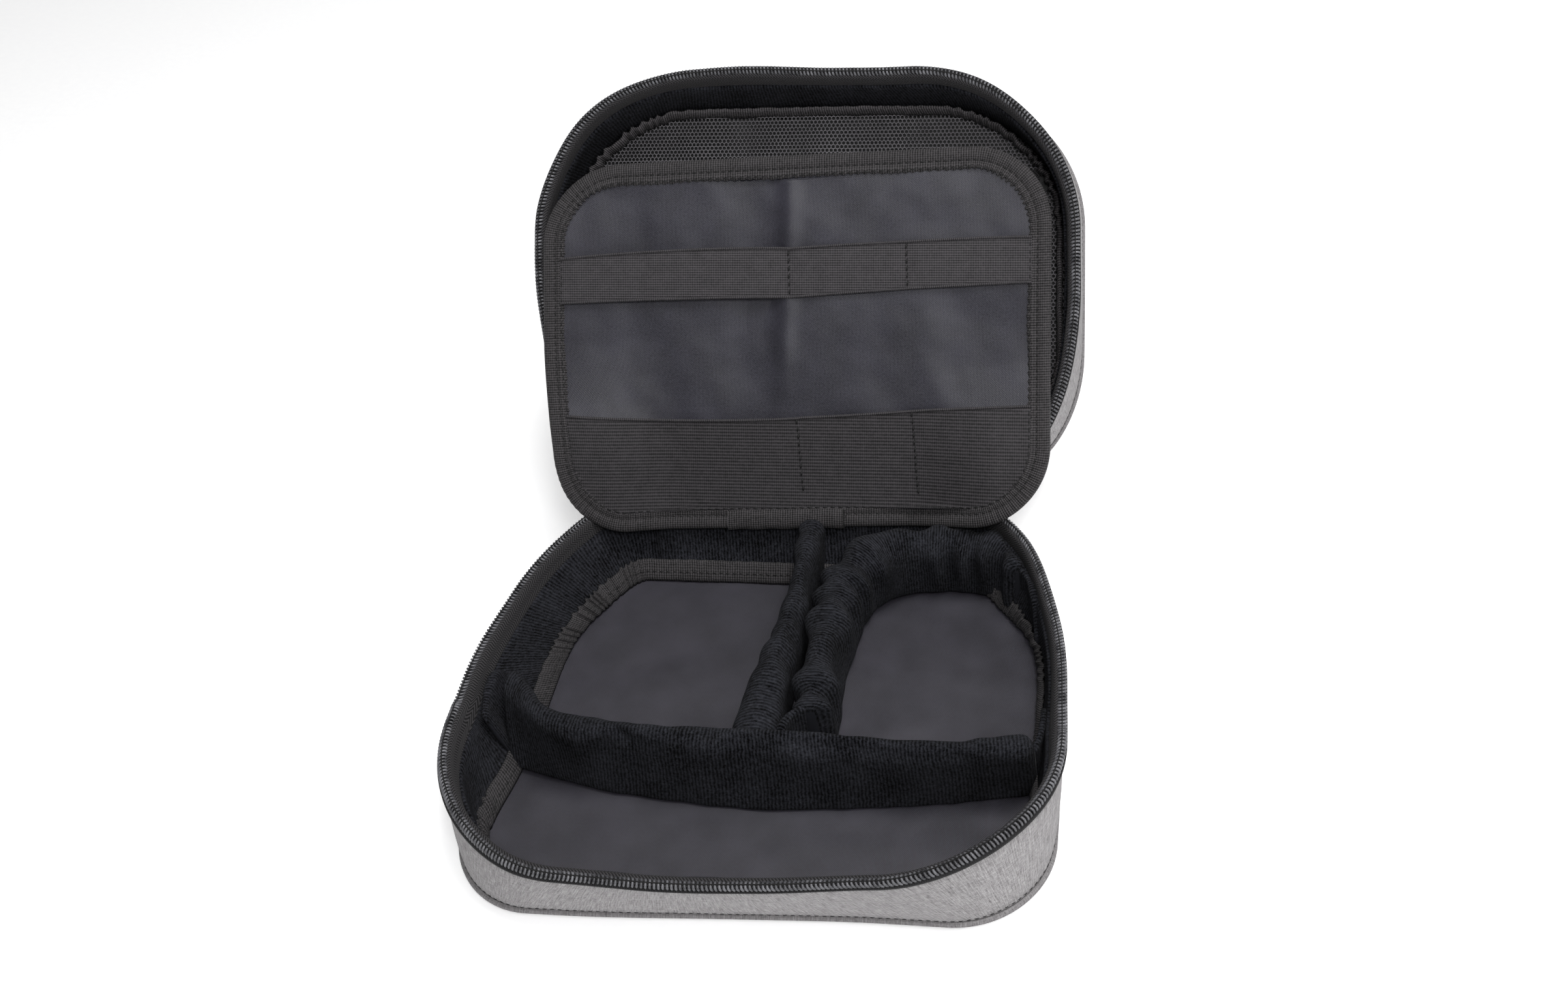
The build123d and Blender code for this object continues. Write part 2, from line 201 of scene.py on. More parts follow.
rim_droop, rim_bulge, droop_width = 6.0 * MM, 4.4 * MM, 75 * MM
droop_share = {"tray": 1.0, "lid": 0.12}
unevenness, uneven_size, uneven_seed = 1.6 * MM, 45 * MM, {"tray": 1, "lid": 2}
lid_draw = 4.4 * MM                      # the lid's far rim leans in by this much
left_forward = 6.0 * MM                  # the tray's front stands further forward on the left
wall_tilt, left_tilt = 1.9 * MM, 4.0 * MM   # the tray's floor sits right of its rim, most of all on the left


def settle(half, points):
    """How the soft wall gives: the tray's front rim droops and bulges, and all walls are a little uneven."""
    points = np.array(points, float)
    x, y, level = points[..., 0], points[..., 1], points[..., 2]
    high = np.clip(level / shell_height, 0, 1)
    forward = np.clip(-y / half_depth, 0, 1)
    give = np.exp(-(x / droop_width) ** 2) * forward ** 2
    depth = droop_share[half]
    edge = np.clip(np.hypot(x / half_width, y / half_depth) - 0.5, 0, 0.5) * 2
    uneven = wobble(points, uneven_size, unevenness, uneven_seed[half]) * edge
    radial = points[..., :2] / (np.linalg.norm(points[..., :2], axis=-1, keepdims=True) + 1e-6)
    moved = points.copy()
    moved[..., 1] -= depth * rim_bulge * give * high ** 1.2
    moved[..., 2] -= depth * rim_droop * give * high ** 1.3
    if half == "lid":
        moved[..., 1] += lid_draw * forward ** 1.5 * (1 + 0.3 * (x / half_width) ** 2)
    else:
        moved[..., 1] -= left_forward * (1 - smooth_step(-90 * MM, 60 * MM, x)) * forward ** 2
        moved[..., 0] += (wall_tilt + left_tilt * smooth_step(-10 * MM, -90 * MM, x)) * (1 - high)
    moved[..., :2] += radial * (uneven * high)[..., None]
    moved[..., 2] += uneven * 0.6 * high ** 3
    return moved


def place(matrix, points):
    """Points moved from a local frame to the row frame."""
    m = np.array(matrix)
    return points @ m[:3, :3].T + m[:3, 3]


# ---- Meshes ---------------------------------------------------------------------------------
def steps(points, closed):
    """Running length along a line of points."""
    line = np.concatenate([points, points[:1]]) if closed else points
    return running(np.linalg.norm(np.diff(line, axis=0), axis=1))


def grid_faces(rows, cols, wrap_rows, wrap_cols):
    r = np.arange(rows if wrap_rows else rows - 1)
    c = np.arange(cols if wrap_cols else cols - 1)
    r, c = (a.ravel() for a in np.meshgrid(r, c, indexing="ij"))
    corners = [(r, c), (r, c + 1), (r + 1, c + 1), (r + 1, c)]
    faces = np.stack([(a % rows) * cols + b % cols for a, b in corners], -1)
    return faces, corners


def linked(name, data):
    obj = bpy.data.objects.new(name, data)
    bpy.context.scene.collection.objects.link(obj)
    return obj


def mesh_object(name, verts, faces, uv=None):
    data = bpy.data.meshes.new(name)
    data.from_pydata([tuple(v) for v in verts], [], [tuple(int(i) for i in f) for f in faces])
    if uv is not None:
        layer = data.uv_layers.new(name="weave")
        layer.data.foreach_set("uv", np.asarray(uv, np.float32).ravel())
    data.polygons.foreach_set("use_smooth", [True] * len(data.polygons))
    data.update()
    return linked(name, data)


def surface(name, points, wrap=(False, False), caps=False, weave=None):
    """A grid of points as a mesh. Its weave map, unless given, is in metres along the columns and the rows."""
    rows, cols = points.shape[:2]
    faces, corners = grid_faces(rows, cols, *wrap)
    if weave is None:
        u = steps(points[rows // 2], wrap[1])
        v = steps(points[:, cols // 3], wrap[0])
        uv = np.stack([np.stack([u[b], v[a]], -1) for a, b in corners], 1).reshape(-1, 2)
    else:
        uv = weave.reshape(-1, 2)[faces].reshape(-1, 2)
    faces = [tuple(f) for f in faces]
    if caps:
        first = range(0, rows * cols, cols)
        faces += [tuple(first), tuple(corner + cols - 1 for corner in reversed(first))]
        uv = np.concatenate([uv, np.zeros((2 * rows, 2))])
    return mesh_object(name, points.reshape(-1, 3), faces, uv)


def cloud(name, verts, faces, count):
    """Many copies of one small shape as a single mesh: verts is (count, n, 3)."""
    each = verts.shape[1]
    offset = (np.arange(count) * each)[:, None, None]
    all_faces = (np.asarray(faces)[None] + offset).reshape(-1, len(faces[0]))
    return mesh_object(name, verts.reshape(-1, 3), all_faces)


def tube(name, points, radius, up, sides=6, closed=False, flat=1.0):
    """A round or flattened tube along a line; flat scales it along up."""
    tangent = np.roll(points, -1, 0) - np.roll(points, 1, 0) if closed else np.gradient(points, axis=0)
    tangent /= np.linalg.norm(tangent, axis=1, keepdims=True) + 1e-12
    side = np.cross(tangent, np.broadcast_to(up, points.shape))
    side /= np.linalg.norm(side, axis=1, keepdims=True) + 1e-12
    over = np.cross(side, tangent)
    turn = np.linspace(0, 2 * math.pi, sides, endpoint=False)
    ringed = (
        points[None]
        + radius * np.cos(turn)[:, None, None] * side[None]
        + radius * flat * np.sin(turn)[:, None, None] * over[None]
    )
    return surface(name, ringed, wrap=(True, closed), caps=not closed)


def stitch_row(name, points, up, pitch, length=None, width=0.5 * MM, rise=0.35 * MM, slant=0.0, closed=False):
    """Thread stitches along a line of points that lie on the cloth; up is the cloth's normal there."""
    line = np.concatenate([points, points[:1]]) if closed else points
    ups = np.broadcast_to(up, points.shape)
    ups = np.concatenate([ups, ups[:1]]) if closed else ups
    run = steps(points, closed)
    count = max(int(run[-1] / pitch), 1)
    length = 0.72 * pitch if length is None else length
    mid = (np.arange(count) + 0.5) * run[-1] / count
    stations = np.linspace(-0.5, 0.5, 5)
    heights = np.array([-0.5, 0.75, 1.0, 0.75, -0.5]) * rise
    widths = np.array([0.35, 0.95, 1.0, 0.95, 0.35]) * width / 2
    centre, normal = resample(line, run, mid), resample(ups, run, mid)
    before, after = np.maximum(mid - 0.3 * pitch, 0), np.minimum(mid + 0.3 * pitch, run[-1])
    ahead = unit(resample(line, run, after) - resample(line, run, before))
    side = np.cross(ahead, normal)
    verts = []
    for station, height, wide in zip(stations, heights, widths):
        core = centre + ahead * station * length + side * (slant * station) + normal * height
        for k in range(5):
            angle = 2 * math.pi * k / 5
            verts.append(core + side * wide * math.cos(angle) + normal * wide * 0.8 * math.sin(angle))
    faces = grid_faces(5, 5, False, True)[0]
    return cloud(name, np.stack(verts, 1), faces, count)


def fill(outline, low, high, rows, cols):
    """A grid of flat points that fills a closed outline from low to high, each row from edge to edge."""
    ring = np.roll(outline, -int(outline[:, 1].argmin()), 0)
    top = int(ring[:, 1].argmax())
    one, two = ring[:top + 1], np.concatenate([ring[top:], ring[:1]])[::-1]
    level = low + (high - low) * (0.5 - 0.5 * np.cos(np.linspace(0, math.pi, rows)))
    edges = [np.interp(level, chain[:, 1], chain[:, 0]) for chain in (one, two)]
    left, right = np.minimum(*edges), np.maximum(*edges)
    x = left[:, None] + (right - left)[:, None] * np.linspace(0, 1, cols)
    return np.stack([x, np.broadcast_to(level[:, None], x.shape)], -1)


# ---- Materials ------------------------------------------------------------------------------
def tone(*levels):
    """A colour given in display levels, 0 to 255."""
    linear = [(c / 255 / 12.92) if c / 255 <= 0.04045 else ((c / 255 + 0.055) / 1.055) ** 2.4 for c in levels]
    return (*linear, 1.0)


class Cloth:
    """One procedural material and the few node helpers it is built with."""

    def __init__(self, name, **sockets):
        self.material = bpy.data.materials.new(name)
        self.material.use_nodes = True
        self.tree = self.material.node_tree
        self.shader = self.tree.nodes["Principled BSDF"]
        for socket, value in sockets.items():
            self.shader.inputs[socket.replace("_", " ")].default_value = value

    def node(self, kind, settings=(), **sockets):
        made = self.tree.nodes.new(kind)
        for key, value in dict(settings).items():
            setattr(made, key, value)
        for key, value in sockets.items():
            self.feed(made.inputs[key.replace("_", " ")], value)
        return made

    def feed(self, socket, value):
        if isinstance(value, bpy.types.NodeSocket):
            self.tree.links.new(value, socket)
        else:
            socket.default_value = value

    def math(self, operation, first, second=0.0):
        made = self.node("ShaderNodeMath", {"operation": operation})
        self.feed(made.inputs[0], first)
        self.feed(made.inputs[1], second)
        return made.outputs[0]

    def weave(self, along=1.0, across=1.0, turn=0.0):
        """The weave map in millimetres, stretched and turned."""
        source = self.node("ShaderNodeUVMap", {"uv_map": "weave"}).outputs[0]
        return self.mapped(source, (along / MM, across / MM, 1 / MM), turn)

    def space(self):
        """The object's own place in millimetres."""
        source = self.node("ShaderNodeTexCoord").outputs["Object"]
        return self.mapped(source, (1 / MM, 1 / MM, 1 / MM), 0.0)

    def mapped(self, source, scale, turn):
        made = self.node("ShaderNodeMapping", Vector=source, Scale=scale, Rotation=(0, 0, turn))
        return made.outputs[0]

    def axis(self, vector, which):
        return self.node("ShaderNodeSeparateXYZ", Vector=vector).outputs[which]

    def noise(self, vector, scale=1.0, detail=3.0, rough=0.55):
        made = self.node("ShaderNodeTexNoise", Vector=vector, Scale=scale, Detail=detail, Roughness=rough)
        return made.outputs["Fac"]

    def ribs(self, value, pitch, phase=0.0):
        """A wave from 0 to 1 with this pitch."""
        turned = self.math("ADD", self.math("MULTIPLY", value, 2 * math.pi / pitch), phase)
        return self.math("MULTIPLY", self.math("ADD", self.math("SINE", turned), 1.0), 0.5)

    def range(self, value, low, high, to_low=0.0, to_high=1.0):
        made = self.node("ShaderNodeMapRange", Value=value)
        for socket, amount in (("From Min", low), ("From Max", high), ("To Min", to_low), ("To Max", to_high)):
            made.inputs[socket].default_value = amount
        return made.outputs[0]

    def total(self, *terms):
        """The weighted sum of (value, weight) pairs."""
        made = None
        for value, weight in terms:
            part = self.math("MULTIPLY", value, weight)
            made = part if made is None else self.math("ADD", made, part)
        return made

    def mix(self, share, dark, light):
        """Between two colours that are given in display levels."""
        made = self.node("ShaderNodeMix", {"data_type": "RGBA"})
        self.feed(made.inputs[0], share)
        self.feed(made.inputs[6], tone(*dark))
        self.feed(made.inputs[7], tone(*light))
        return made.outputs[2]

    def bump(self, height, distance, strength=1.0, below=None):
        made = self.node("ShaderNodeBump", Height=height, Distance=distance * MM, Strength=strength)
        if below is not None:
            self.feed(made.inputs["Normal"], below)
        return made.outputs[0]

    def done(self, colour=None, rough=None, normal=None):
        for socket, value in (("Base Color", colour), ("Roughness", rough), ("Normal", normal)):
            if value is not None:
                self.feed(self.shader.inputs[socket], value)
        return self.material


def melange(name, dark, light):
    """Grey two-tone weave: light and dark yarns, mostly upright, uneven in thickness."""
    cloth = Cloth(name, Roughness=0.9, Sheen_Weight=0.03, Sheen_Roughness=0.6, Specular_IOR_Level=0.15)
    warp = cloth.noise(cloth.weave(1.9, 0.16), 1.0, 4.0, 0.6)
    weft = cloth.noise(cloth.weave(0.2, 1.9), 1.0, 4.0, 0.6)
    flecks = cloth.noise(cloth.weave(1.3, 0.9), 1.0, 2.0)
    flat = cloth.weave()
    over = cloth.ribs(cloth.axis(flat, 0), 0.62)
    under = cloth.ribs(cloth.axis(flat, 1), 0.62, math.pi / 2)
    knots = cloth.math("MULTIPLY", over, under)
    yarn = cloth.total((warp, 0.52), (weft, 0.26), (flecks, 0.22), (knots, 0.05))
    colour = cloth.mix(cloth.range(yarn, 0.36, 0.68), dark, light)
    height = cloth.total((knots, 0.7), (yarn, 1.2))
    return cloth.done(colour, cloth.range(warp, 0.3, 0.7, 0.84, 0.95), cloth.bump(height, 0.2))


def taffeta(name, dark, light):
    """Smooth coated lining: fine diagonal twill lines, faint yarns and a soft gloss."""
    cloth = Cloth(name, Roughness=0.42, Sheen_Weight=0.02, Sheen_Roughness=0.35, Specular_IOR_Level=0.45)
    turned = cloth.weave(turn=math.radians(38))
    lines = cloth.ribs(cloth.axis(turned, 0), 0.62)
    threads = cloth.ribs(cloth.axis(cloth.weave(), 0), 0.36)
    broad = cloth.noise(cloth.weave(), 0.05, 2.0)
    grain = cloth.noise(cloth.weave(1.1, 1.1), 1.0, 3.0)
    value = cloth.total((lines, 0.36), (broad, 0.4), (grain, 0.40))
    colour = cloth.mix(cloth.range(value, 0.34, 0.84), dark, light)
    fine = cloth.total((lines, 1.0), (threads, 0.5))
    creases = cloth.bump(cloth.noise(cloth.weave(0.35, 0.5), 0.08, 2.0, 0.45), 1.6, 0.5)
    return cloth.done(colour, cloth.range(grain, 0.3, 0.7, 0.36, 0.54), cloth.bump(fine, 0.06, 0.8, creases))


def ribbed(name, dark, light, pitch, cross, along=1, rough=0.78, depth=0.14, lumps=0.3):
    """Narrow woven goods: ribs across one way, a finer thread the other, and yarns of uneven brightness."""
    cloth = Cloth(name, Roughness=rough, Sheen_Weight=0.03, Sheen_Roughness=0.5, Specular_IOR_Level=0.35)
    flat = cloth.weave()
    ribs = cloth.ribs(cloth.axis(flat, along), pitch)
    beads = cloth.ribs(cloth.axis(flat, 1 - along), cross)
    grain = cloth.noise(cloth.weave(0.7, 0.7), 1.0, 5.0, 0.8)
    broad = cloth.noise(cloth.weave(), 0.16, 2.0)
    value = cloth.total((ribs, 0.40), (beads, 0.2), (grain, 2 * lumps), (broad, 0.25))
    height = cloth.total((ribs, 1.0), (beads, 0.4), (grain, 0.9))
    middle = 0.425 + lumps
    colour = cloth.mix(cloth.range(value, middle - 0.3, middle + 0.3), dark, light)
    return cloth.done(colour, None, cloth.bump(height, depth))


def herringbone(name, dark, light):
    """Zipper tape: slanted ribs that turn back on themselves every few millimetres."""
    cloth = Cloth(name, Roughness=0.8, Sheen_Weight=0.03, Sheen_Roughness=0.5, Specular_IOR_Level=0.3)
    flat = cloth.weave()
    zigzag = cloth.math("PINGPONG", cloth.axis(flat, 1), 2.0)
    slanted = cloth.math("ADD", cloth.axis(flat, 0), cloth.math("MULTIPLY", zigzag, 1.1))
    ribs = cloth.ribs(slanted, 1.3)
    grain = cloth.noise(cloth.weave(1.5, 1.5), 1.0, 3.0)
    value = cloth.total((ribs, 0.65), (grain, 0.35))
    return cloth.done(cloth.mix(cloth.range(value, 0.2, 0.85), dark, light), None, cloth.bump(value, 0.22))


def fleece(name, dark, light):
    """Brushed loop fleece: faint knit ribs under a short uneven pile that catches the light in specks."""
    cloth = Cloth(name, Roughness=0.95, Sheen_Weight=0.02, Sheen_Roughness=0.4, Specular_IOR_Level=0.06)
    flat = cloth.weave()
    wander = cloth.math("MULTIPLY", cloth.noise(cloth.weave(), 0.3, 2.0), 1.4)
    ribs = cloth.ribs(cloth.math("ADD", cloth.axis(flat, 0), wander), 1.5)
    pile = cloth.noise(cloth.weave(), 1.25, 5.0, 0.75)
    tufts = cloth.noise(cloth.weave(), 0.5, 3.0, 0.65)
    broad = cloth.noise(cloth.weave(), 0.06, 3.0)
    value = cloth.total((ribs, 0.12), (pile, 0.46), (tufts, 0.34), (broad, 0.22))
    colour = cloth.mix(cloth.range(value, 0.47, 0.73), dark, light)
    return cloth.done(colour, None, cloth.bump(value, 1.6, 1.0))


def plain(name, dark, light, scale=1.0, **sockets):
    """Moulded or painted goods: slight mottling and a fine orange-peel surface."""
    cloth = Cloth(name, **sockets)
    mottle = cloth.noise(cloth.space(), 0.7 * scale, 4.0)
    wear = cloth.noise(cloth.space(), 0.2 * scale, 3.0)
    colour = cloth.mix(cloth.range(wear, 0.35, 0.7), dark, light)
    rough = cloth.shader.inputs["Roughness"].default_value
    gloss = cloth.range(mottle, 0.3, 0.7, rough - 0.07, rough + 0.1)
    return cloth.done(colour, gloss, cloth.bump(mottle, 0.03))


looks = {
    "melange": melange("melange_grey", (104, 101, 102), (184, 182, 183)),
    "seam": melange("melange_seam", (88, 85, 86), (158, 156, 157)),
    "taffeta": taffeta("lining_taffeta", (18, 17, 23), (54, 53, 63)),
    "floor": taffeta("floor_taffeta", (24, 23, 28), (62, 60, 68)),
    # The lid's panel lining is the same taffeta as the floor's, in far darker colours: painted shade under the
    # net pocket.
    "lid_panel_painted_shade": taffeta("lid_taffeta_painted_shade", (5, 5, 6), (14, 14, 17)),
    "elastic_ribs": ribbed("elastic_ribbed", (4, 4, 5), (60, 57, 60), 1.5, 1.0, lumps=0.4),
    "elastic": ribbed("elastic_grid", (14, 13, 15), (70, 67, 70), 1.1, 1.1, depth=0.12),
    "cord": ribbed("elastic_edge", (18, 17, 19), (70, 67, 70), 0.9, 0.9, along=0),
    "grosgrain": ribbed("binding_grosgrain", (1, 1, 1), (70, 67, 69), 1.15, 1.0, 0, depth=0.3, lumps=0.5),
    # The lid's binding is the same grosgrain as the tray's, in lighter colours: painted light on its band along
    # the lid's far wall.
    "grosgrain_painted_lighter": ribbed("lid_grosgrain_painted_light", (8, 8, 9), (108, 104, 107), 1.15, 1.0, 0, depth=0.3, lumps=0.5),
    "edge": ribbed("edge_tape", (5, 5, 6), (28, 27, 29), 0.9, 0.9, along=0),
    "herringbone": herringbone("zipper_tape_weave", (6, 6, 7), (60, 58, 60)),
    "fleece": fleece("fleece_black", (3, 3, 4), (56, 57, 63)),
    "thread": ribbed("sewing_thread", (4, 4, 4), (20, 19, 20), 0.5, 0.5, along=0, rough=0.6),
    "net": ribbed("pocket_net", (66, 64, 68), (130, 127, 131), 0.6, 0.6, rough=0.5),
    # The coil is black nylon; these greys are lighter than that, partly its own dark colour and partly painted
    # highlight that makes its beads look lit.
    "coil": plain("coil_nylon_painted_highlight", (50, 50, 53), (112, 112, 116), Roughness=0.32, Specular_IOR_Level=0.45),
    "metal": plain("slider_enamel", (13, 13, 14), (27, 27, 29), 2.0, Roughness=0.36, Metallic=0.55,
                   Coat_Weight=0.3, Coat_Roughness=0.25),
}


def dress(piece, look, body=None, replaces=(), across=None):
    """The material, body and CAD nodes of a finished piece; a piece given across is baked in place and joins no
    body.
    """
    piece.data.materials.clear()
    piece.data.materials.append(looks[look])
    if across is None:
        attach(piece, body)
    else:
        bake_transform(piece)
    if replaces:
        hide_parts(*replaces)
    return piece


def sew(name, line, up, pitch, body, **shape):
    """A row of stitches on one body."""
    return dress(stitch_row(name, line, up, pitch, **shape), "thread", body)


# ---- The two halves -------------------------------------------------------------------------
def wall(half, share, level, inset):
    """Points of a settled half, in the row frame: level and inset in millimetres."""
    flat = plan(share, np.asarray(level, float) * MM, np.asarray(inset, float) * MM, half)
    return place(frames[half], settle(half, flat))


def band(name, half, share, profile, closed):
    """A strip that follows the wall: profile is a list of (level, inset) in millimetres, from edge to edge."""
    profile = np.array(profile, float)
    points = wall(half, share[None], profile[:, :1], profile[:, 1:])
    return surface(name, points, wrap=(False, closed))


def around(count):
    return np.linspace(0, 1, count, endpoint=False)


def corners_only(share):
    """1 in the four corners of a half and 0 on its straight runs."""
    run = np.where(share <= 0.5, share, 1 - share) * 2
    _, back_start, back_end, front_start, front_end, _ = breaks
    back = smooth_step(back_start, back_start + 0.05, run) * (1 - smooth_step(back_end - 0.12, back_end, run))
    front = smooth_step(front_start - 0.03, front_start + 0.05, run)
    front = front * (1 - smooth_step(front_end - 0.05, front_end, run))
    return np.maximum(back * 0.8, front)


coil_end = 76.5 * MM
coil_start_share = (coil_end + 1.0 * MM) / perimeter
coil_level, coil_inset = 36.2, 0.9
tooth_pitch, tooth_points = 1.65 * MM, 14


def make_coil(name, line, outward, upward, pitch, wide, tall, wire):
    """A zipper coil: a wire wound in flattened turns along a line."""
    run = steps(line, False)
    turns = int(run[-1] / pitch)
    count = turns * tooth_points + 1
    where = np.linspace(0, run[-1], count)
    angle = np.linspace(0, 2 * math.pi * turns, count)[:, None]
    centre, out, up = (resample(values, run, where) for values in (line, outward, upward))
    cosine, sine = np.cos(angle), np.sin(angle)
    square = lambda value: np.sign(value) * np.abs(value) ** 0.75
    points = centre + out * wide * square(cosine) + up * tall * square(sine)
    normal = out * cosine + up * sine
    return tube(name, points, wire, normal, sides=5)


def drawn_in(half, share):
    """How far the lining at the panel stands in from the wall, in millimetres."""
    x, y = plan(share, 5 * MM, 0, half)[:, :2].T / half_depth
    if half == "lid":
        return 1.5 + 4.0 * smooth_step(0.45, 0.9, y) + 3.0 * smooth_step(0.4, 0.9, -y)
    back, front = smooth_step(0.35, 0.95, y), smooth_step(0.2, 0.85, -y)
    return 17.0 * back + (6.0 - 3.5 * np.sign(x)) * (1 - back) * (1 - front) + 2.0 * front


for half, frame_of_half in frames.items():
    body = bodies[half]
    ring = around(380)
    cover = [
        (4.9, 1.4), (5.6, 0.5), (6.6, 0.05), (9, -0.25), (13, -0.5), (18, -0.6), (23, -0.5), (28, -0.25),
        (31.5, -0.05), (32.8, 0.2), (33.8, 0.7), (34.2, 1.6),
    ]
    dress(band(f"{half}_cover_wall", half, ring, cover, True), "melange", body,
          [f"{half}_outer_wall", f"{half}_wall_foam"])

    # Bottom panel: a rounded edge, then a flat that is filled row by row
    heel = [(4.6, 1.3), (3.7, 0.55), (2.5, 0.7), (1.4, 1.6), (0.6, 3.2), (0.25, 5.4), (0.2, 8.0)]
    dress(band(f"{half}_cover_heel", half, ring, heel, True), "melange", body,
          [f"{half}_outer_panel"])
    foot_outline = plan(ring, 0.2 * MM, 7.9 * MM, half)[:, :2]
    foot_edge = half_depth - 7.9 * MM - 0.1 * MM
    flat = fill(foot_outline, -foot_edge + panel_lean, foot_edge, 60, 76)
    foot = place(frame_of_half, lifted(flat, 0.25 * MM))
    piece = surface(f"{half}_cover_panel", foot, weave=flat)
    dress(piece, "melange", body, [f"{half}_panel_board"])

    # Rolled seam between the bottom panel and the wall, with its two rows of stitches
    seam_line = wall(half, ring, 5.0, -0.15)
    out = unit(wall(half, ring, 5.0, -1.15) - seam_line)
    piece = tube(f"{half}_rolled_seam", seam_line, 1.15 * MM, out, sides=10, closed=True)
    dress(piece, "seam", body, [f"{half}_piping"])
    for row, level, inset in (("low", 3.3, 0.5), ("high", 7.0, 0.05)):
        sew(f"{half}_seam_stitches_{row}", wall(half, ring, level, inset), out, 3.0 * MM, body,
            width=0.32 * MM, rise=0.2 * MM, closed=True)

    # Zipper: black edge tape outside, coil on the rim, herringbone tape inside
    open_ring = np.linspace(coil_start_share, 1 - coil_start_share, 330)
    edge_tape = [
        (33.0, 0.15), (33.4, -0.3), (33.9, -0.95), (34.5, -1.35), (35.3, -1.35), (35.7, -0.6), (35.8, 0.6),
        (35.9, 1.4),
    ]
    dress(band(f"{half}_edge_tape", half, open_ring, edge_tape, False), "edge", body)
    inner_tape = [
        (35.9, 0.3), (36.1, 1.3), (36.8, 2.4), (36.6, 3.4), (35.6, 4.2), (33.5, 4.7), (31, 5.05), (28, 5.4),
        (26.4, 5.6),
    ]
    dress(band(f"{half}_inner_tape", half, open_ring, inner_tape, False), "herringbone", body,
          [f"{half}_zipper_tape"])
    fine = np.linspace(coil_start_share, 1 - coil_start_share, 900)
    line = wall(half, fine, coil_level, coil_inset)
    outward = unit(wall(half, fine, coil_level, coil_inset - 1) - line)
    upward = unit(wall(half, fine, coil_level + 1, coil_inset) - line)
    coil = make_coil(f"{half}_coil", line, outward, upward, tooth_pitch, 1.5 * MM, 1.3 * MM, 0.54 * MM)
    dress(coil, "coil", body, [f"{half}_zipper_coil", f"{half}_zipper_stops"])
    sewn = tube(f"{half}_coil_thread", line + upward * 1.72 * MM, 0.3 * MM, outward, sides=6)
    dress(sewn, "thread", body)
    tape_line = wall(half, open_ring, 34.2, 4.8)
    sew(f"{half}_tape_stitches", tape_line, wall(half, open_ring, 34.2, 5.8) - tape_line, 2.2 * MM, body,
        width=0.35 * MM, rise=0.2 * MM)

    # Fleece lining of the wall, with a soft rolled top
    lining_share = around(340)
    middle_line = plan(lining_share, 15 * MM, 0)
    swell = wobble(middle_line, 26 * MM, 0.55, 5)
    rows = np.array([
        (29.2, 5.2), (29.5, 5.75), (29.0, 6.3), (27.5, 6.55), (24, 6.4), (19, 6.3), (14, 6.35), (10, 6.4),
        (7, 6.5), (4.6, 6.7),
    ])
    heights = rows[:, :1]
    join = np.exp(-((middle_line[:, 0] + 74 * MM) / (2.2 * MM)) ** 2) * (middle_line[:, 1] > 0)
    inset = rows[:, 1:] + swell[None] * smooth_step(0, 12, heights)
    inset = inset - 2.4 * join[None] * smooth_step(0, 8, heights)
    inset = inset + drawn_in(half, lining_share)[None] * (1 - heights / 29.5).clip(0, 1) ** 1.15
    level = heights + swell[None] * 0.9 * smooth_step(24, 29, heights)
    lining = surface(f"{half}_wall_fleece", wall(half, lining_share[None], level, inset), wrap=(False, True))
    dress(lining, "fleece", body, [f"{half}_wall_lining"])

    # Panel lining
    floor_outline = plan(ring, 4.2 * MM, 5.6 * MM, half)[:, :2]
    floor_edge = half_depth - 5.7 * MM
    flat = fill(floor_outline, -floor_edge + panel_lean, floor_edge, 90, 120)
    floor = lifted(flat, 3.9 * MM + wobble(lifted(flat, 0), 32 * MM, 0.45 * MM, 9))
    piece = surface(f"{half}_lining_cloth", place(frame_of_half, floor), weave=flat)
    # The lid's panel lining takes the darker copy of the taffeta: painted shade under the net pocket.
    dress(piece, "floor" if half == "tray" else "lid_panel_painted_shade", body, [f"{half}_panel_lining"])

    # Binding over the seam between the panel and the wall lining, gathered in the corners
    share = around(900)
    run = share * perimeter
    gather = corners_only(share)
    beat = np.sin(2 * math.pi * run / (6.8 * MM) + 3.0 * wave(run, 43 * MM) + 1.2 * wave(run, 17 * MM))
    drift = wobble(plan(share, 10 * MM, 0), 18 * MM, 1.0, 11)
    amount = gather * (0.75 + 0.5 * drift) * (1.1 if half == "tray" else 0.8) + 0.15
    section = np.array([
        (4.1, 7.2), (6.0, 8.5), (8.2, 8.9), (10.6, 8.5), (12.0, 7.6), (11.8, 6.6), (9.0, 6.2), (6.0, 6.2),
    ])
    reach = smooth_step(4, 11, section[:, :1])
    flat_lying = drawn_in(half, share)[None]
    inset = section[:, 1:] + (beat * amount)[None] * (0.35 + 0.75 * reach) + drift[None] * 0.35
    inset = inset + flat_lying * (0.95 - 0.35 * reach) + (1.5 if half == "lid" else 0)
    level = section[:, :1] + (np.abs(beat) * amount)[None] * 0.9 * reach + drift[None] * 0.5 * reach
    binding = surface(f"{half}_gathered_binding", wall(half, share[None], level, inset), wrap=(True, True))
    # The lid's binding takes the lighter copy of the grosgrain: painted light.
    tape_look = "grosgrain" if half == "tray" else "grosgrain_painted_lighter"
    dress(binding, tape_look, body, [f"{half}_seam_binding"])
    line = wall(half, share[None], level[2:3], inset[2:3] + 0.05)[0]
    facing = unit(wall(half, share, 9.2, 10.0) - wall(half, share, 8.2, 9.0))
    sew(f"{half}_binding_stitches", line, facing, 3.2 * MM, body, width=0.42 * MM, rise=0.3 * MM, closed=True)

# ---- Hinge between the halves ---------------------------------------------------------------
seam_start = Vector((0, half_depth + 0.8 * MM, shell_height - 6 * MM))
seam_end = lid_frame @ seam_start


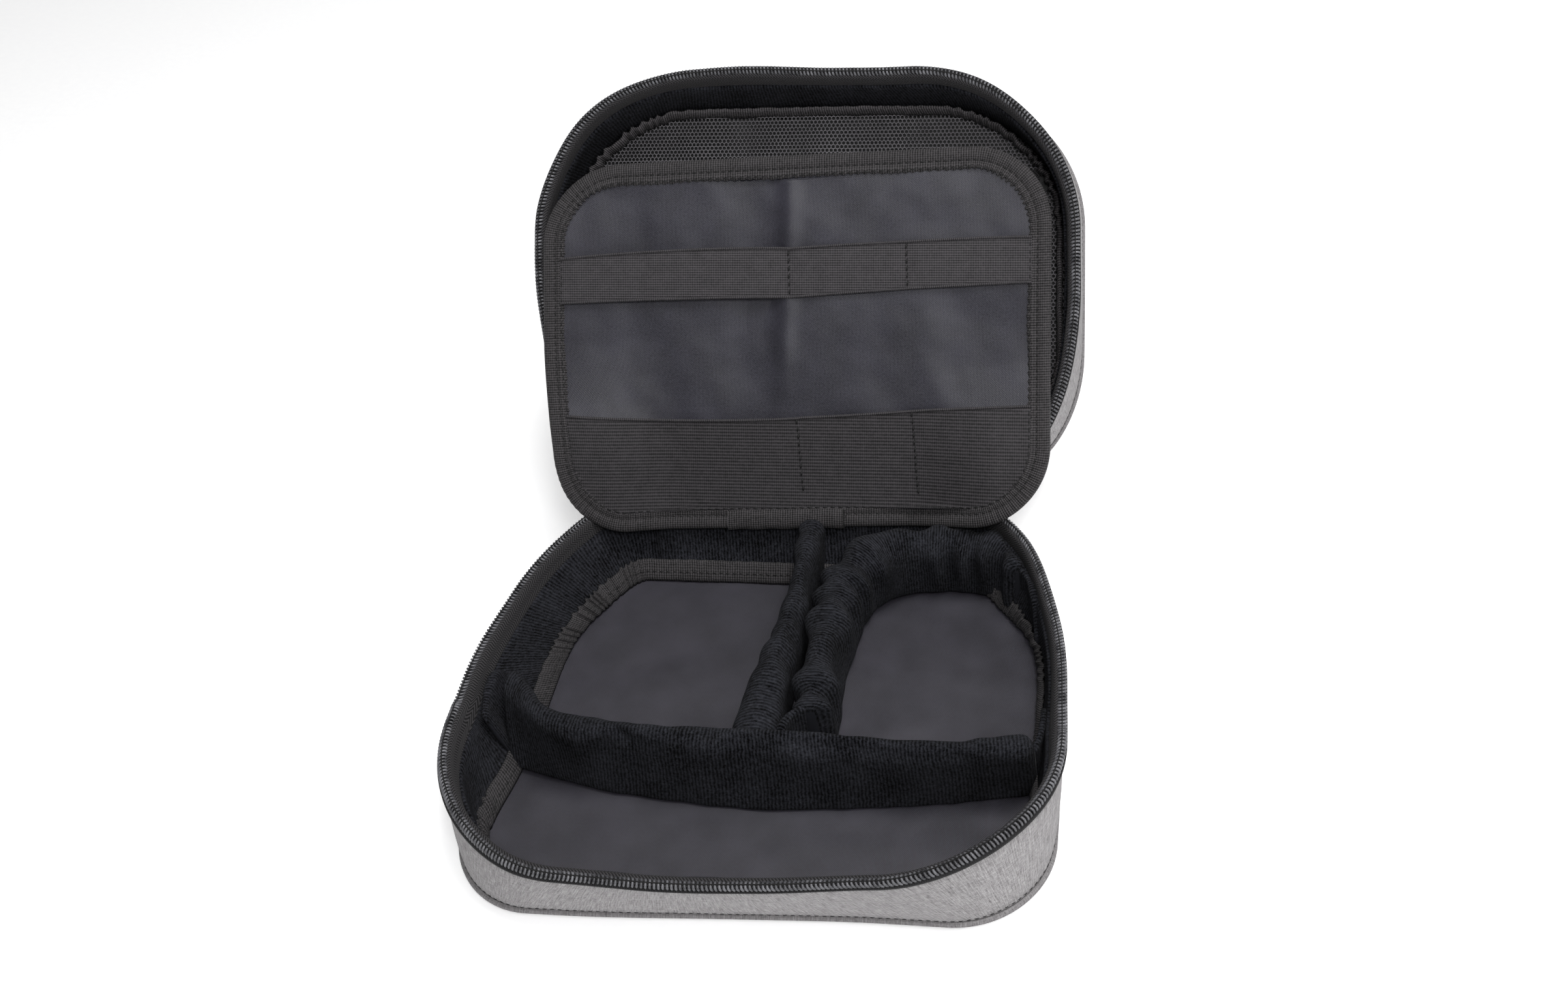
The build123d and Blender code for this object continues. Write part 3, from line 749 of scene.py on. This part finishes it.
def hinge_strip(name, profile, half_length, look, nodes, seed=21):
    """Cloth across the hinge: profile is (level, y) in millimetres on the tray, mirrored on the lid."""
    across = np.linspace(-half_length, half_length, 90)
    rows = []
    for matrix, order, way in ((tray_frame, profile, 1), (lid_frame, profile[::-1], -1)):
        for level, y in order:
            rows.append(place(matrix, np.stack(np.broadcast_arrays(way * across, y * MM, level * MM), -1)))
    points = np.array(rows)
    points[..., 1] += wobble(points, 22 * MM, 0.25 * MM, seed)
    piece = surface(name, points)
    return dress(piece, look, across=("base", "lid", seam_start, seam_end), replaces=nodes)


spine_profile = [(20.5, 98.75), (21.0, 99.2), (26, 99.25), (31, 99.3), (34, 99.4), (36.2, 99.5), (37.5, 99.6)]
hinge_strip("hinge_spine", spine_profile, 74 * MM, "melange",
            ["tray_hinge_spine", "lid_hinge_spine"])
lining_profile = [(26, 93.0), (30, 93.3), (33, 93.7), (35, 94.6), (36.4, 96.2), (37.2, 98.2)]
hinge_strip("hinge_lining", lining_profile, 77.5 * MM, "edge",
            ["tray_hinge_tape", "lid_hinge_tape", "flap_hinge_strip"], seed=23)

# ---- Flap: an organiser panel hinged at the lid's rim, in its own millimetre coordinates -------
flap_half, flap_foot, flap_head, flap_radius = 117.5, -16.7, 153.2, 36.7
flap_centre, flap_tilt = -4, 0.038       # it stands a little to the left, with its right side higher


def flap_outline(share, inset):
    """Outline of the flap as (x, height): share runs 0 to 1 from the middle of the foot, by +X first."""
    share, inset = np.broadcast_arrays(np.asarray(share, float), np.asarray(inset, float))
    half, radius = flap_half - inset, flap_radius - inset
    low, high = flap_foot + inset, flap_head - inset
    lengths = np.array([
        flap_half - flap_radius, flap_radius * math.pi / 2, flap_head - flap_foot - 2 * flap_radius,
        flap_radius * math.pi / 2, flap_half - flap_radius,
    ])
    side, part, which = along_parts(share, running(lengths) / lengths.sum())
    lower, upper = part[1] * math.pi / 2, part[3] * math.pi / 2
    x = np.select(which, [
        part[0] * (half - radius), half - radius + radius * np.sin(lower), half,
        half - radius + radius * np.cos(upper),
    ], (half - radius) * (1 - part[4]))
    s = np.select(which, [
        low, low + radius - radius * np.cos(lower), low + radius + (high - low - 2 * radius) * part[2],
        high - radius + radius * np.sin(upper),
    ], high)
    x = side * x
    return np.stack([x + flap_centre, s + flap_tilt * x], -1)


flap_length = 2 * (
    2 * (flap_half - flap_radius) + flap_radius * math.pi + flap_head - flap_foot - 2 * flap_radius
)


def flap_world(x, s, n):
    """Row frame points for places on the flap: along X, up the flap, out of its face. Its sides bow forward."""
    x, s, n = np.broadcast_arrays(*(np.asarray(v, float) for v in (x, s, n)))
    rise = smooth_step(2, 34, s) * (1 - smooth_step(112, 150, s))
    bow = 3.6 * smooth_step(70, 122, -x) * rise + 1.6 * smooth_step(80, 114, x) * rise
    low_left = smooth_step(52, 96, flap_centre - x) * (1 - smooth_step(6, 70, s))
    low_right = smooth_step(52, 96, x - flap_centre) * (1 - smooth_step(6, 62, s))
    over_rim = 10.0 * low_left + 13.0 * low_right
    x = x + 7.5 * low_left + 1.0 * low_right
    belly = 1.2 * np.sin(np.clip((s - 5) / 150, 0, 1) * math.pi) * np.cos(np.clip(x / 130, -1, 1) * math.pi / 2)
    points = np.stack([x, s, n + bow + belly + over_rim], -1) * MM
    return place(flap_frame, points)


def flap_at(share, inset, n):
    """Row frame points along the flap's outline; share may run on past a whole turn."""
    at = flap_outline(share % 1, inset)
    return flap_world(at[..., 0], at[..., 1], n)


def flap_dress(piece, look, nodes=(), root=False):
    """The flap's foot stays on the tray and the rest swings with the flap."""
    dress(piece, look, "base" if root else "flap", nodes)
    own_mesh(piece)
    return piece


def flap_sew(name, line, pitch, nodes=(), root=False, **shape):
    flap_dress(stitch_row(name, line, np.array(flap_out), pitch, **shape), "thread", nodes, root)


def flap_cord(name, line, radius):
    """The rolled edge of a strap."""
    cord = tube(name, line, radius, np.array(flap_out), sides=8, flat=1.1)
    return flap_dress(cord, "cord")


def crease(x, s):
    """The lining's press fold down the middle, and slack folds that run from the straps."""
    line = x + 7 - 0.03 * (s - 70)
    fold = 2.3 * np.exp(-(line / 4.5) ** 2) - 2.8 * np.exp(-((line + 17) / 15) ** 2)
    flat = np.stack([x * 0.6 + s * 0.25, s * 0.5 - x * 0.2, x * 0], -1) * MM
    return fold * smooth_step(36, 60, s) + wobble(flat, 17 * MM, 1.5, 31) + wobble(flat, 7 * MM, 0.4, 32)


dense = around(1600)
face_edge = flap_outline(dense, 8.0)
low_mark, high_mark = face_edge[:, 1].min() + 0.05, face_edge[:, 1].max() - 0.05
for name, low, high, rows, root in (
    ("flap", 0.0, high_mark, 110, False),
    ("flap_foot", low_mark, 0.0, 12, True),
):
    flat = fill(face_edge, low, high, rows, 150)
    x, s = flat[..., 0], flat[..., 1]
    for side, nodes in (("front", ["flap_front_fabric", "flap_board"]), ("back", ["flap_back_fabric"])):
        n = 1.0 + crease(x, s) * 0.8 if side == "front" else -1.1 + 0 * x
        piece = surface(f"{name}_{side}_cloth", flap_world(x, s, n), weave=flat * MM)
        flap_dress(piece, "taffeta", () if root else nodes, root)

# Binding: one folded tape all round, stitched down along its middle, gathered at the corners
crossing = flap_outline(dense, 0)[:, 1] < 0
low_shares = np.where(dense > 0.5, dense - 1, dense)[crossing]
foot_right, foot_left = low_shares.max(), low_shares.min()
binding_section = np.array([
    (10.2, 1.2), (9.9, 1.75), (8.3, 2.0), (6.7, 1.9), (6.1, 1.35), (5.5, 1.9), (3.2, 2.25), (1.2, 1.95),
    (0.25, 1.1),
    (0.0, 0.0), (0.25, -1.1), (1.2, -1.9), (5.0, -2.0), (9.6, -1.7), (9.9, -1.2),
])


def flap_corner(share):
    x, s = (flap_outline(share % 1, 0) - [flap_centre, 0]).T
    side = smooth_step(flap_half - flap_radius - 4, flap_half - 8, np.abs(x))
    middle_s, tall = (flap_head + flap_foot) / 2, (flap_head - flap_foot) / 2
    return side * smooth_step(tall - flap_radius - 4, tall - 10, np.abs(s - middle_s))


def binding_grid(share):
    run = share * flap_length
    gather = flap_corner(share)
    beat = np.sin(2 * math.pi * run / 3.6 + 0.8 * wave(run, 23))
    slow = wave(run, 61) * 0.25 + np.sin(2 * math.pi * run / 27 + 1) * 0.15
    inner = smooth_step(6, 10, binding_section[:, :1])
    inset = binding_section[:, :1] + (beat * (0.28 + 0.35 * gather) + slow)[None] * inner
    n = binding_section[:, 1:] + (beat * gather)[None] * 0.3 * np.sign(binding_section[:, 1:])
    return flap_at(share[None], inset, n)


for name, share, root in (
    ("flap_edge_binding", np.linspace(foot_right, 1 + foot_left, 900), False),
    ("flap_foot_binding", np.linspace(foot_left, foot_right, 300), True),
):
    piece = surface(name, binding_grid(share), wrap=(True, False), caps=True)
    flap_dress(piece, "grosgrain", () if root else ["flap_binding"], root)
    for row, inset, n, pitch in (("groove", 6.1, 1.5, 3.4 * MM), ("edge", 9.3, 2.0, 3.6 * MM)):
        line = flap_at(share, inset, n)
        flap_sew(f"{name}_{row}_stitches", line, pitch, (), root, width=0.5 * MM, rise=0.25 * MM)

# The binding's ends lap over each other at the foot: a second layer that stops in a cut edge
lap = np.linspace(-30, 24, 60)
lap_rows = np.array([
    (8.6, 2.0), (8.3, 2.55), (5, 2.75), (1.6, 2.6), (-0.35, 1.5), (-0.6, 0), (-0.35, -1.4), (2, -2.3),
])
lap_inset = lap_rows[:, :1] + 0.18 * np.sin(lap / 2.1)[None]
lap_n = lap_rows[:, 1:] * (0.86 + 0.14 * smooth_step(-30, -18, lap)[None])
piece = surface("flap_foot_binding_lap", flap_at((lap / flap_length)[None], lap_inset, lap_n))
flap_dress(piece, "grosgrain", root=True)
frays, cut_x = [], 24 + flap_centre
for k in range(16):                      # short yarns along the cut edge
    s_low = flap_foot + 0.2 + k * 0.5 + flap_tilt * 24
    reach = 0.7 + 0.8 * random.random()
    s_high = s_low + random.uniform(-0.3, 0.3)
    frays.append([(cut_x - 0.4, s_low, 2.4), (cut_x + reach, s_high, 2.5)])
x, s, n = np.moveaxis(np.array(frays), -1, 0)
under, over = (flap_world(x, s + wide, n) for wide in (-0.09, 0.09))
quads = np.stack([under[:, 0], under[:, 1], over[:, 1], over[:, 0]], 1)
flap_dress(cloud("flap_foot_binding_threads", quads, [(0, 1, 2, 3)], len(frays)), "thread", root=True)

# Elastic straps: (x, lower edge, upper edge) at their ends and where they are sewn
upper_ends = np.array([(-114, 85.5, 105.8), (-5, 88.8, 110.8), (49, 92.8, 113.8), (107, 96, 116)])
lower_top = np.array([(-114, 33.8), (-1, 33.8), (53, 37.8), (107, 41)])
upper_sewn, lower_sewn = (-5, 49), (0, 53)
strap_left, strap_right = flap_centre - flap_half + 8.6, flap_centre + flap_half - 8.6


def strap_bulge(x, sewn, amounts):
    """How far a strap stands off between its ends and the places where it is sewn."""
    value, ends = 0 * x, (strap_left, *sewn, strap_right)
    for left, right, amount in zip(ends[:-1], ends[1:], amounts):
        u = np.clip((x - left) / (right - left), 0, 1)
        value = value + amount * np.sin(math.pi * u) ** 0.7 * ((x >= left) & (x <= right))
    return value


x = np.linspace(strap_left, strap_right, 200)[None]
edge_low, edge_high = (np.interp(x, upper_ends[:, 0], upper_ends[:, k]) for k in (1, 2))
stand = strap_bulge(x, upper_sewn, (2.4, 0.7, 0.7))
arc = strap_bulge(x, upper_sewn, (1.6, 0.2, 0.3))
t = np.linspace(0, 1, 14)[:, None]
s = edge_low + (edge_high - edge_low) * t + arc * (0.4 + 0.6 * t)
n = 2.0 + stand * (0.8 + 0.2 * np.sin(math.pi * t)) + 0 * s
x_grid = x + 0 * s
upper = surface("flap_strap_upper", flap_world(x_grid, s, n), weave=np.stack([x_grid, s], -1) * MM)
flap_dress(upper, "elastic", ["flap_elastic_upper"])
for name, row in (("lower", 0), ("upper", -1)):
    line = flap_world(x_grid[row], s[row], n[row] + 0.1)
    flap_cord(f"flap_elastic_upper_{name}_edge", line, 0.6 * MM)
upper_grid = (x_grid[0], s, n)

inner = flap_outline(dense, 8.6)
for name, low, high, rows, root in (
    ("flap_strap_lower", 0.0, 37.0, 34, False),
    ("flap_foot_elastic", max(low_mark - 0.6, inner[:, 1].min() + 0.05), 0.0, 12, True),
):
    flat = fill(inner, low, high, rows, 200)
    x, s = flat[..., 0], flat[..., 1]
    if not root:
        top = np.interp(x, lower_top[:, 0], lower_top[:, 1])
        sag = strap_bulge(x, lower_sewn, (-1.8, -0.2, 0.2))
        share_up = s / high
        s = share_up * top + sag * share_up ** 2
        stand = strap_bulge(x, lower_sewn, (2.2, 0.7, 0.7)) * share_up ** 1.5
    else:
        stand = 0 * s
    n = 1.95 + stand
    piece = surface(name, flap_world(x, s, n), weave=np.stack([x, s], -1) * MM)
    flap_dress(piece, "elastic_ribs", () if root else ["flap_elastic_lower"], root)
    if not root:
        cord = flap_cord("flap_elastic_lower_edge", flap_world(x[-1], s[-1], n[-1] + 0.1), 0.65 * MM)
        lower_grid = (x[-1], s, n)

for name, places, (columns, s, n) in (("upper", upper_sewn, upper_grid), ("lower", lower_sewn, lower_grid)):
    for k, place_x in enumerate(places):
        col = int(np.argmin(np.abs(columns - place_x)))
        rows = np.arange(len(s))
        reach = np.linspace(0.04, 0.98, 30) * rows[-1]
        line_s, line_n = (np.interp(reach, rows, values[:, col]) for values in (s, n))
        lean = 4.0 if name == "lower" else 0.8
        line_x = place_x + lean * (0.5 - np.linspace(0, 1, 30))
        flap_sew(f"flap_stitching_{name}_{k + 1}", flap_world(line_x, line_s, line_n + 0.3), 3.1 * MM,
                 ["flap_stitching"] if k == 0 else (),
                 length=2.5 * MM, width=0.85 * MM, rise=0.4 * MM, slant=0.5 * MM)

# ---- Mesh pocket over the lid's panel, with its zipper ----------------------------------------
net_outline = plan(around(900), 5.4 * MM, 6.8 * MM, "lid")[:, :2]
pocket_zip_y = -42 * MM
net_pitch, net_hole = 1.9 * MM, 0.76


def inside(points, outline):
    """Which points lie inside a closed outline."""
    a, b = outline, np.roll(outline, -1, 0)
    x, y = points[:, 0, None], points[:, 1, None]
    spans = (a[:, 1] > y) != (b[:, 1] > y)
    slope = (b[:, 0] - a[:, 0]) / np.where(b[:, 1] == a[:, 1], 1, b[:, 1] - a[:, 1])
    return (spans & (x < a[:, 0] + slope * (y - a[:, 1]))).sum(1) % 2 == 1


def pocket_level(flat):
    """The pocket's cloth hangs a little off the panel, in soft folds."""
    points = lifted(flat * [1.0, 0.55], 0)
    edge = 1 - np.clip(np.hypot(flat[:, 0] / half_width, flat[:, 1] / half_depth) - 0.55, 0, 0.45) / 0.45
    return 5.7 * MM + (2.2 * MM + wobble(points, 19 * MM, 4.2 * MM, 41)) * edge


def make_net(name, low, high):
    """Knitted hexagon net as real openings."""
    xs = np.arange(-half_width, half_width, net_pitch)
    ys = np.arange(low, high, net_pitch * math.sqrt(3) / 2)
    centres = np.array([(x + (k % 2) * net_pitch / 2, y) for k, y in enumerate(ys) for x in xs])
    centres = centres[inside(centres, net_outline)]
    angle = np.radians(90 + 60 * np.arange(6))
    hexagon = np.stack([np.cos(angle), np.sin(angle)], -1) * net_pitch / math.sqrt(3)
    cells = centres[:, None] + np.concatenate([hexagon, hexagon * net_hole])[None]
    flat = cells.reshape(-1, 2)
    flat, index = np.unique(np.round(flat, 6), axis=0, return_inverse=True)
    index = index.reshape(len(cells), 12)
    quads = [(k, (k + 1) % 6, 6 + (k + 1) % 6, 6 + k) for k in range(6)]
    faces = np.concatenate([index[:, list(q)] for q in quads])
    points = lifted(flat, pocket_level(flat))
    return mesh_object(name, place(lid_frame, points), faces, flat[faces].reshape(-1, 2))


for side, low, high in (
    ("lower", pocket_zip_y + 4.5 * MM, half_depth),
    ("upper", -half_depth, pocket_zip_y - 4.5 * MM),
):
    piece = make_net(f"pocket_net_{side}", low, high)
    dress(piece, "net", "lid", [f"pocket_mesh_{side}"])

pocket_x = np.linspace(-106, 106, 160) * MM
for name, near, far in (("upper", -6.5, -1.1), ("lower", 1.1, 6.5)):
    offsets = np.linspace(near, far, 5) * MM
    flat = np.stack(np.broadcast_arrays(pocket_x[None], pocket_zip_y + offsets[:, None]), -1)
    tape = surface(f"pocket_zipper_tape_{name}", place(lid_frame, lifted(flat, 6.3 * MM)), weave=flat)
    dress(tape, "herringbone", "lid", ["pocket_zipper_tape"])
line = np.stack(np.broadcast_arrays(pocket_x * 0.985, pocket_zip_y, 7.4 * MM), -1)
turn = np.array(lid_frame)[:3, :3].T
outward, upward = (np.tile(way, (len(line), 1)) @ turn for way in ([0.0, 1.0, 0.0], [0.0, 0.0, 1.0]))
line = place(lid_frame, line)
pocket_coil = make_coil("pocket_coil", line, outward, upward, 1.35 * MM, 1.5 * MM, 0.62 * MM, 0.34 * MM)
dress(pocket_coil, "coil", "lid", ["pocket_zipper_coil"])

# ---- Padded dividers --------------------------------------------------------------------------
divider_foot = 4.7
left_wall_lean = 10.0                    # at the floor; a divider's left end leans in with the tray's left wall
stuffing_pressure, most_swelling, padding_floor = 4.0, 2.2 * MM, 4.4 * MM


def smooth_path(points, count):
    """A smooth line through a few points, by repeated corner cutting, at even steps."""
    line = np.array(points, float)
    for _ in range(4):
        a, b = line[:-1], line[1:]
        cut = np.stack([a * 0.75 + b * 0.25, a * 0.25 + b * 0.75], 1).reshape(-1, 2)
        line = np.concatenate([line[:1], cut, line[-1:]])
    run = steps(line, False)
    where = np.linspace(0, run[-1], count)
    return resample(line, run, where), where


def pad(name, path, thickness, top, count, seed, fold, lean=None):
    """A stuffed wall with a round top and round ends, along a path; sizes in millimetres."""
    line, run = smooth_path(path, count)
    tangent = unit(np.gradient(line, axis=0))
    side = np.stack([-tangent[:, 1], tangent[:, 0]], -1)
    half = thickness(run / run[-1]) / 2
    end = np.minimum(run, run[-1] - run)
    rounding = np.sqrt(np.clip(1 - (1 - np.clip(end / (half * 0.9), 0, 1)) ** 2, 0.03, 1))
    tall = (top(run / run[-1]) - divider_foot) * (1 - 0.10 * (1 - rounding))
    half = half * rounding
    arc = np.linspace(0.1, math.pi - 0.1, 12)
    profile = [(-0.90, 0.0), (-1.0, 0.06), (-1.03, 0.25), (-1.04, 0.45), (-1.02, 0.65)]
    rows = [(x, z, 0) for x, z in profile] + [(-math.cos(a), 0, math.sin(a)) for a in arc]
    rows += [(-x, z, 0) for x, z in profile[::-1]] + [(0.5, 0, -0.01), (0.0, 0, -0.01), (-0.5, 0, -0.01)]
    grid = np.zeros((len(rows), count, 3))
    cap = half * 0.92
    for k, (x, z, dome) in enumerate(rows):
        height = z * tall if dome == 0 else (tall - cap) + cap * dome
        if dome < 0:
            height = 0 * tall
        offset = x * half
        if lean is not None:
            offset = offset + lean(run / run[-1]) * height / tall
        waves = fold * np.sin(2 * math.pi * run / 19 + 2.5 * np.sin(run / 11)) * np.sign(x)
        waves = waves * (height / tall) ** 0.6 * rounding * (0.4 + 0.6 * abs(x))
        grid[k, :, :2] = line + side * (offset + waves)[:, None]
        ripple = 0.35 * fold * np.cos(2 * math.pi * run / 19 + 1) * (height / tall) if dome > 0 else 0
        grid[k, :, 2] = divider_foot + height + ripple
    uneven = wobble(grid, 15.0, 0.9, seed) + wobble(grid, 5.5, 0.35, seed + 1)
    outward = side[None] * np.array([r[0] for r in rows])[:, None, None]
    grid[..., :2] += outward * uneven[..., None]
    grid[..., 2] += uneven * 0.7 * (grid[..., 2] - divider_foot) / tall.max()
    grid[..., 0] += left_wall_lean * smooth_step(-55, -112, grid[..., 0]) * (1 - grid[..., 2] / 38)
    return surface(name, grid[::-1] * MM, wrap=(True, False), caps=True)


def puff(piece):
    """Lets the stuffing swell the cover a little, by cloth simulation, and keeps the result."""
    scene = bpy.context.scene
    rest = np.array([v.co for v in piece.data.vertices])
    cloth = piece.modifiers.new("puff", "CLOTH")
    cloth.settings.quality = 6
    cloth.settings.mass = 0.3
    cloth.settings.tension_stiffness = cloth.settings.compression_stiffness = 12
    cloth.settings.bending_stiffness = 1.2
    cloth.settings.use_pressure = True
    cloth.settings.uniform_pressure_force = stuffing_pressure
    cloth.settings.effector_weights.gravity = 0
    for step in range(1, 21):
        scene.frame_set(step)
    evaluated = piece.evaluated_get(bpy.context.evaluated_depsgraph_get())
    after = np.array([v.co for v in evaluated.data.vertices])
    piece.modifiers.remove(cloth)
    scene.frame_set(1)
    move = after - rest
    length = np.linalg.norm(move, axis=1, keepdims=True)
    after = rest + move * np.minimum(1, most_swelling / (length + 1e-9))
    after[:, 2] = np.maximum(after[:, 2], padding_floor)
    piece.data.vertices.foreach_set("co", after.astype(np.float32).ravel())
    piece.data.update()


def upholster(piece, divider_name, nodes):
    """Softens a pad and gives it the fleece, its body and what the CAD holds of it."""
    smooth = piece.modifiers.new("smooth", "SUBSURF")
    smooth.levels = smooth.render_levels = 1
    dress(piece, "fleece", f"{divider_name}_divider", nodes)


def divider(name, path, thickness, top, fill_share, extra=(), **shape):
    piece = pad(f"{name}_divider", path, thickness, top, **shape)
    puff(piece)
    upholster(piece, name, [f"{name}_divider_foam", f"{name}_divider_cover", *extra])


divider("long", [
    (-115.5, -31.5), (-98, -36), (-60, -41.5), (-20, -44.2), (12, -44), (50, -41), (88, -36.5), (115.5, -31.5),
], lambda u: 12.2 + 2.0 * np.sin(math.pi * u), lambda u: 37.0 - 2.0 * smooth_step(0.5, 1.0, u), 0.7,
        count=110, seed=51, fold=0.25,
        lean=lambda u: 7.0 * (1 - smooth_step(0.45, 0.9, u)) + 13.0 * np.exp(-(u / 0.08) ** 2))
divider("mid", [(5.5, 90), (5.5, 66), (4.0, 40), (1.0, 10), (-1.5, -16), (-2.0, -34)],
        lambda u: 13.0 + 9.0 * smooth_step(0.2, 1.0, u), lambda u: 33.5 - 1.5 * smooth_step(0.6, 1, u), 0.6,
        extra=["mid_divider_hook_tabs"], count=70, seed=54, fold=0.6, lean=lambda u: 1.6 * np.sin(2.4 * u))
divider("arch", [(22, -20), (21.5, 6), (22.0, 34), (25, 60), (37, 76), (57, 81), (80, 81), (95, 75), (103, 62)],
        lambda u: 16.5 + 6.0 * np.exp(-((u - 0.55) / 0.22) ** 2) - 6.0 * smooth_step(0.8, 1.0, u),
        lambda u: 33.0 + 2.5 * np.sin(math.pi * u), 0.6, count=130, seed=57, fold=2.6)


def tab(name, divider_name, path, top, thick, seed, nodes=()):
    """The thin end of a divider's cover, with the hook tape inside, that grips the wall's fleece."""
    round_end = lambda u: top - 0.55 * top * smooth_step(0.55, 1.0, u) ** 2
    piece = pad(name, path, lambda u: thick + 0 * u, round_end, count=26, seed=seed, fold=0.2)
    upholster(piece, divider_name, nodes)


tab("long_divider_tab_left", "long", [(-112, -33), (-115.5, -22), (-116, -8), (-114.5, 4)], 33.5, 3.4, 61,
    ["long_divider_hook_tabs"])
tab("long_divider_tab_right", "long", [(113, -32), (116, -22), (116.5, -8), (115.5, 0)], 27.0, 3.0, 62)
tab("arch_divider_tab_left", "arch", [(22, -16), (14.5, -22), (11.5, -30), (12, -36)], 31.0, 3.0, 63,
    ["arch_divider_hook_tabs"])
tab("arch_divider_tab_right", "arch", [(101, 66), (107, 57), (110, 46), (110.5, 38)], 31.0, 3.0, 64)

# Raw threads at the cut end of the arch's left tab
hair_count, hair_wide = 14, 0.07
hairs = []
for k in range(hair_count):
    base = np.array([11.6 + 0.5 * random.random(), -30 - 5 * random.random(), 12 + 18 * random.random()])
    step = np.array([random.uniform(-1.6, 1.6), -0.6 + random.uniform(-1.0, 1.0), random.uniform(-3.0, 0.5)])
    hairs.append([base, base + step, base + 1.9 * step + hair_wide, base + step + hair_wide, base + hair_wide])
threads = cloud("arch_divider_threads", np.array(hairs) * MM, [(0, 1, 2, 3, 4)], len(hairs))
dress(threads, "cord", "arch_divider")

# ---- Painted metal: the CAD's own sliders and pulls ---------------------------------------------
for name in (
    "zipper_slider_left", "zipper_slider_right", "zipper_pull_left", "zipper_pull_right",
    "pocket_slider", "pocket_pull",
):
    data = bpy.data.objects[name].data
    data.materials.clear()
    data.materials.append(looks["metal"])

# ---- Camera, light and floor ----------------------------------------------------------------
camera_data = bpy.data.cameras.new("camera")
camera_data.lens = 37.0
camera_data.sensor_width = 36.0
camera_data.shift_x, camera_data.shift_y = -0.0644, -0.0784
camera = linked("camera", camera_data)
camera_right = (0.98733, 0.13036, -0.09050)
camera_up = (-0.01013, 0.62089, 0.78384)
camera_back = (0.15837, -0.77299, 0.61434)
camera_place = (0.15423, -0.43307, 0.53463)
camera.matrix_world = Matrix((*zip(camera_right, camera_up, camera_back, camera_place), (0, 0, 0, 1)))
bpy.context.scene.camera = camera

light_aim = Vector((0, 0.03, 0.06))
for name, location, size, power in (
    ("key", (0.35, -0.75, 1.15), 0.45, 9.0),
    ("top", (0.3, 0.12, 1.35), 0.6, 11.0),
    ("side", (0.95, -0.25, 0.8), 0.7, 3.0),
):
    data = bpy.data.lights.new(name, "AREA")
    data.shape, data.size, data.energy = "DISK", size, power
    lamp = linked(name, data)
    lamp.location = location
    lamp.rotation_euler = (light_aim - Vector(location)).to_track_quat("-Z", "Y").to_euler()

# A white studio: the camera sees it at full strength, the pouch is lit by a share of it
studio_share, floor_size, floor_level, floor_glow = 0.26, 4.0, -0.4 * MM, 0.36
world = bpy.data.worlds.new("studio")
world.use_nodes = True
nodes, links = world.node_tree.nodes, world.node_tree.links
background = nodes["Background"]
background.inputs["Color"].default_value = (1, 1, 1, 1)
seen = nodes.new("ShaderNodeLightPath").outputs["Is Camera Ray"]
strength = nodes.new("ShaderNodeMapRange")
strength.inputs["To Min"].default_value, strength.inputs["To Max"].default_value = studio_share, 1.0
links.new(seen, strength.inputs["Value"])
links.new(strength.outputs[0], background.inputs["Strength"])
bpy.context.scene.world = world
bpy.context.scene.view_settings.view_transform = "Standard"

floor_mesh = bpy.data.meshes.new("studio_floor")
floor_corners = [(x * floor_size, y * floor_size, floor_level) for x, y in ((-1, -1), (1, -1), (1, 1), (-1, 1))]
floor_mesh.from_pydata(floor_corners, [], [(0, 1, 2, 3)])
floor_piece = linked("studio_floor", floor_mesh)
floor_mesh.materials.append(plain(
    "floor_paper", (246, 246, 247), (250, 250, 250),
    Roughness=0.9, Specular_IOR_Level=0.1, Emission_Color=(1, 1, 1, 1), Emission_Strength=floor_glow,
))
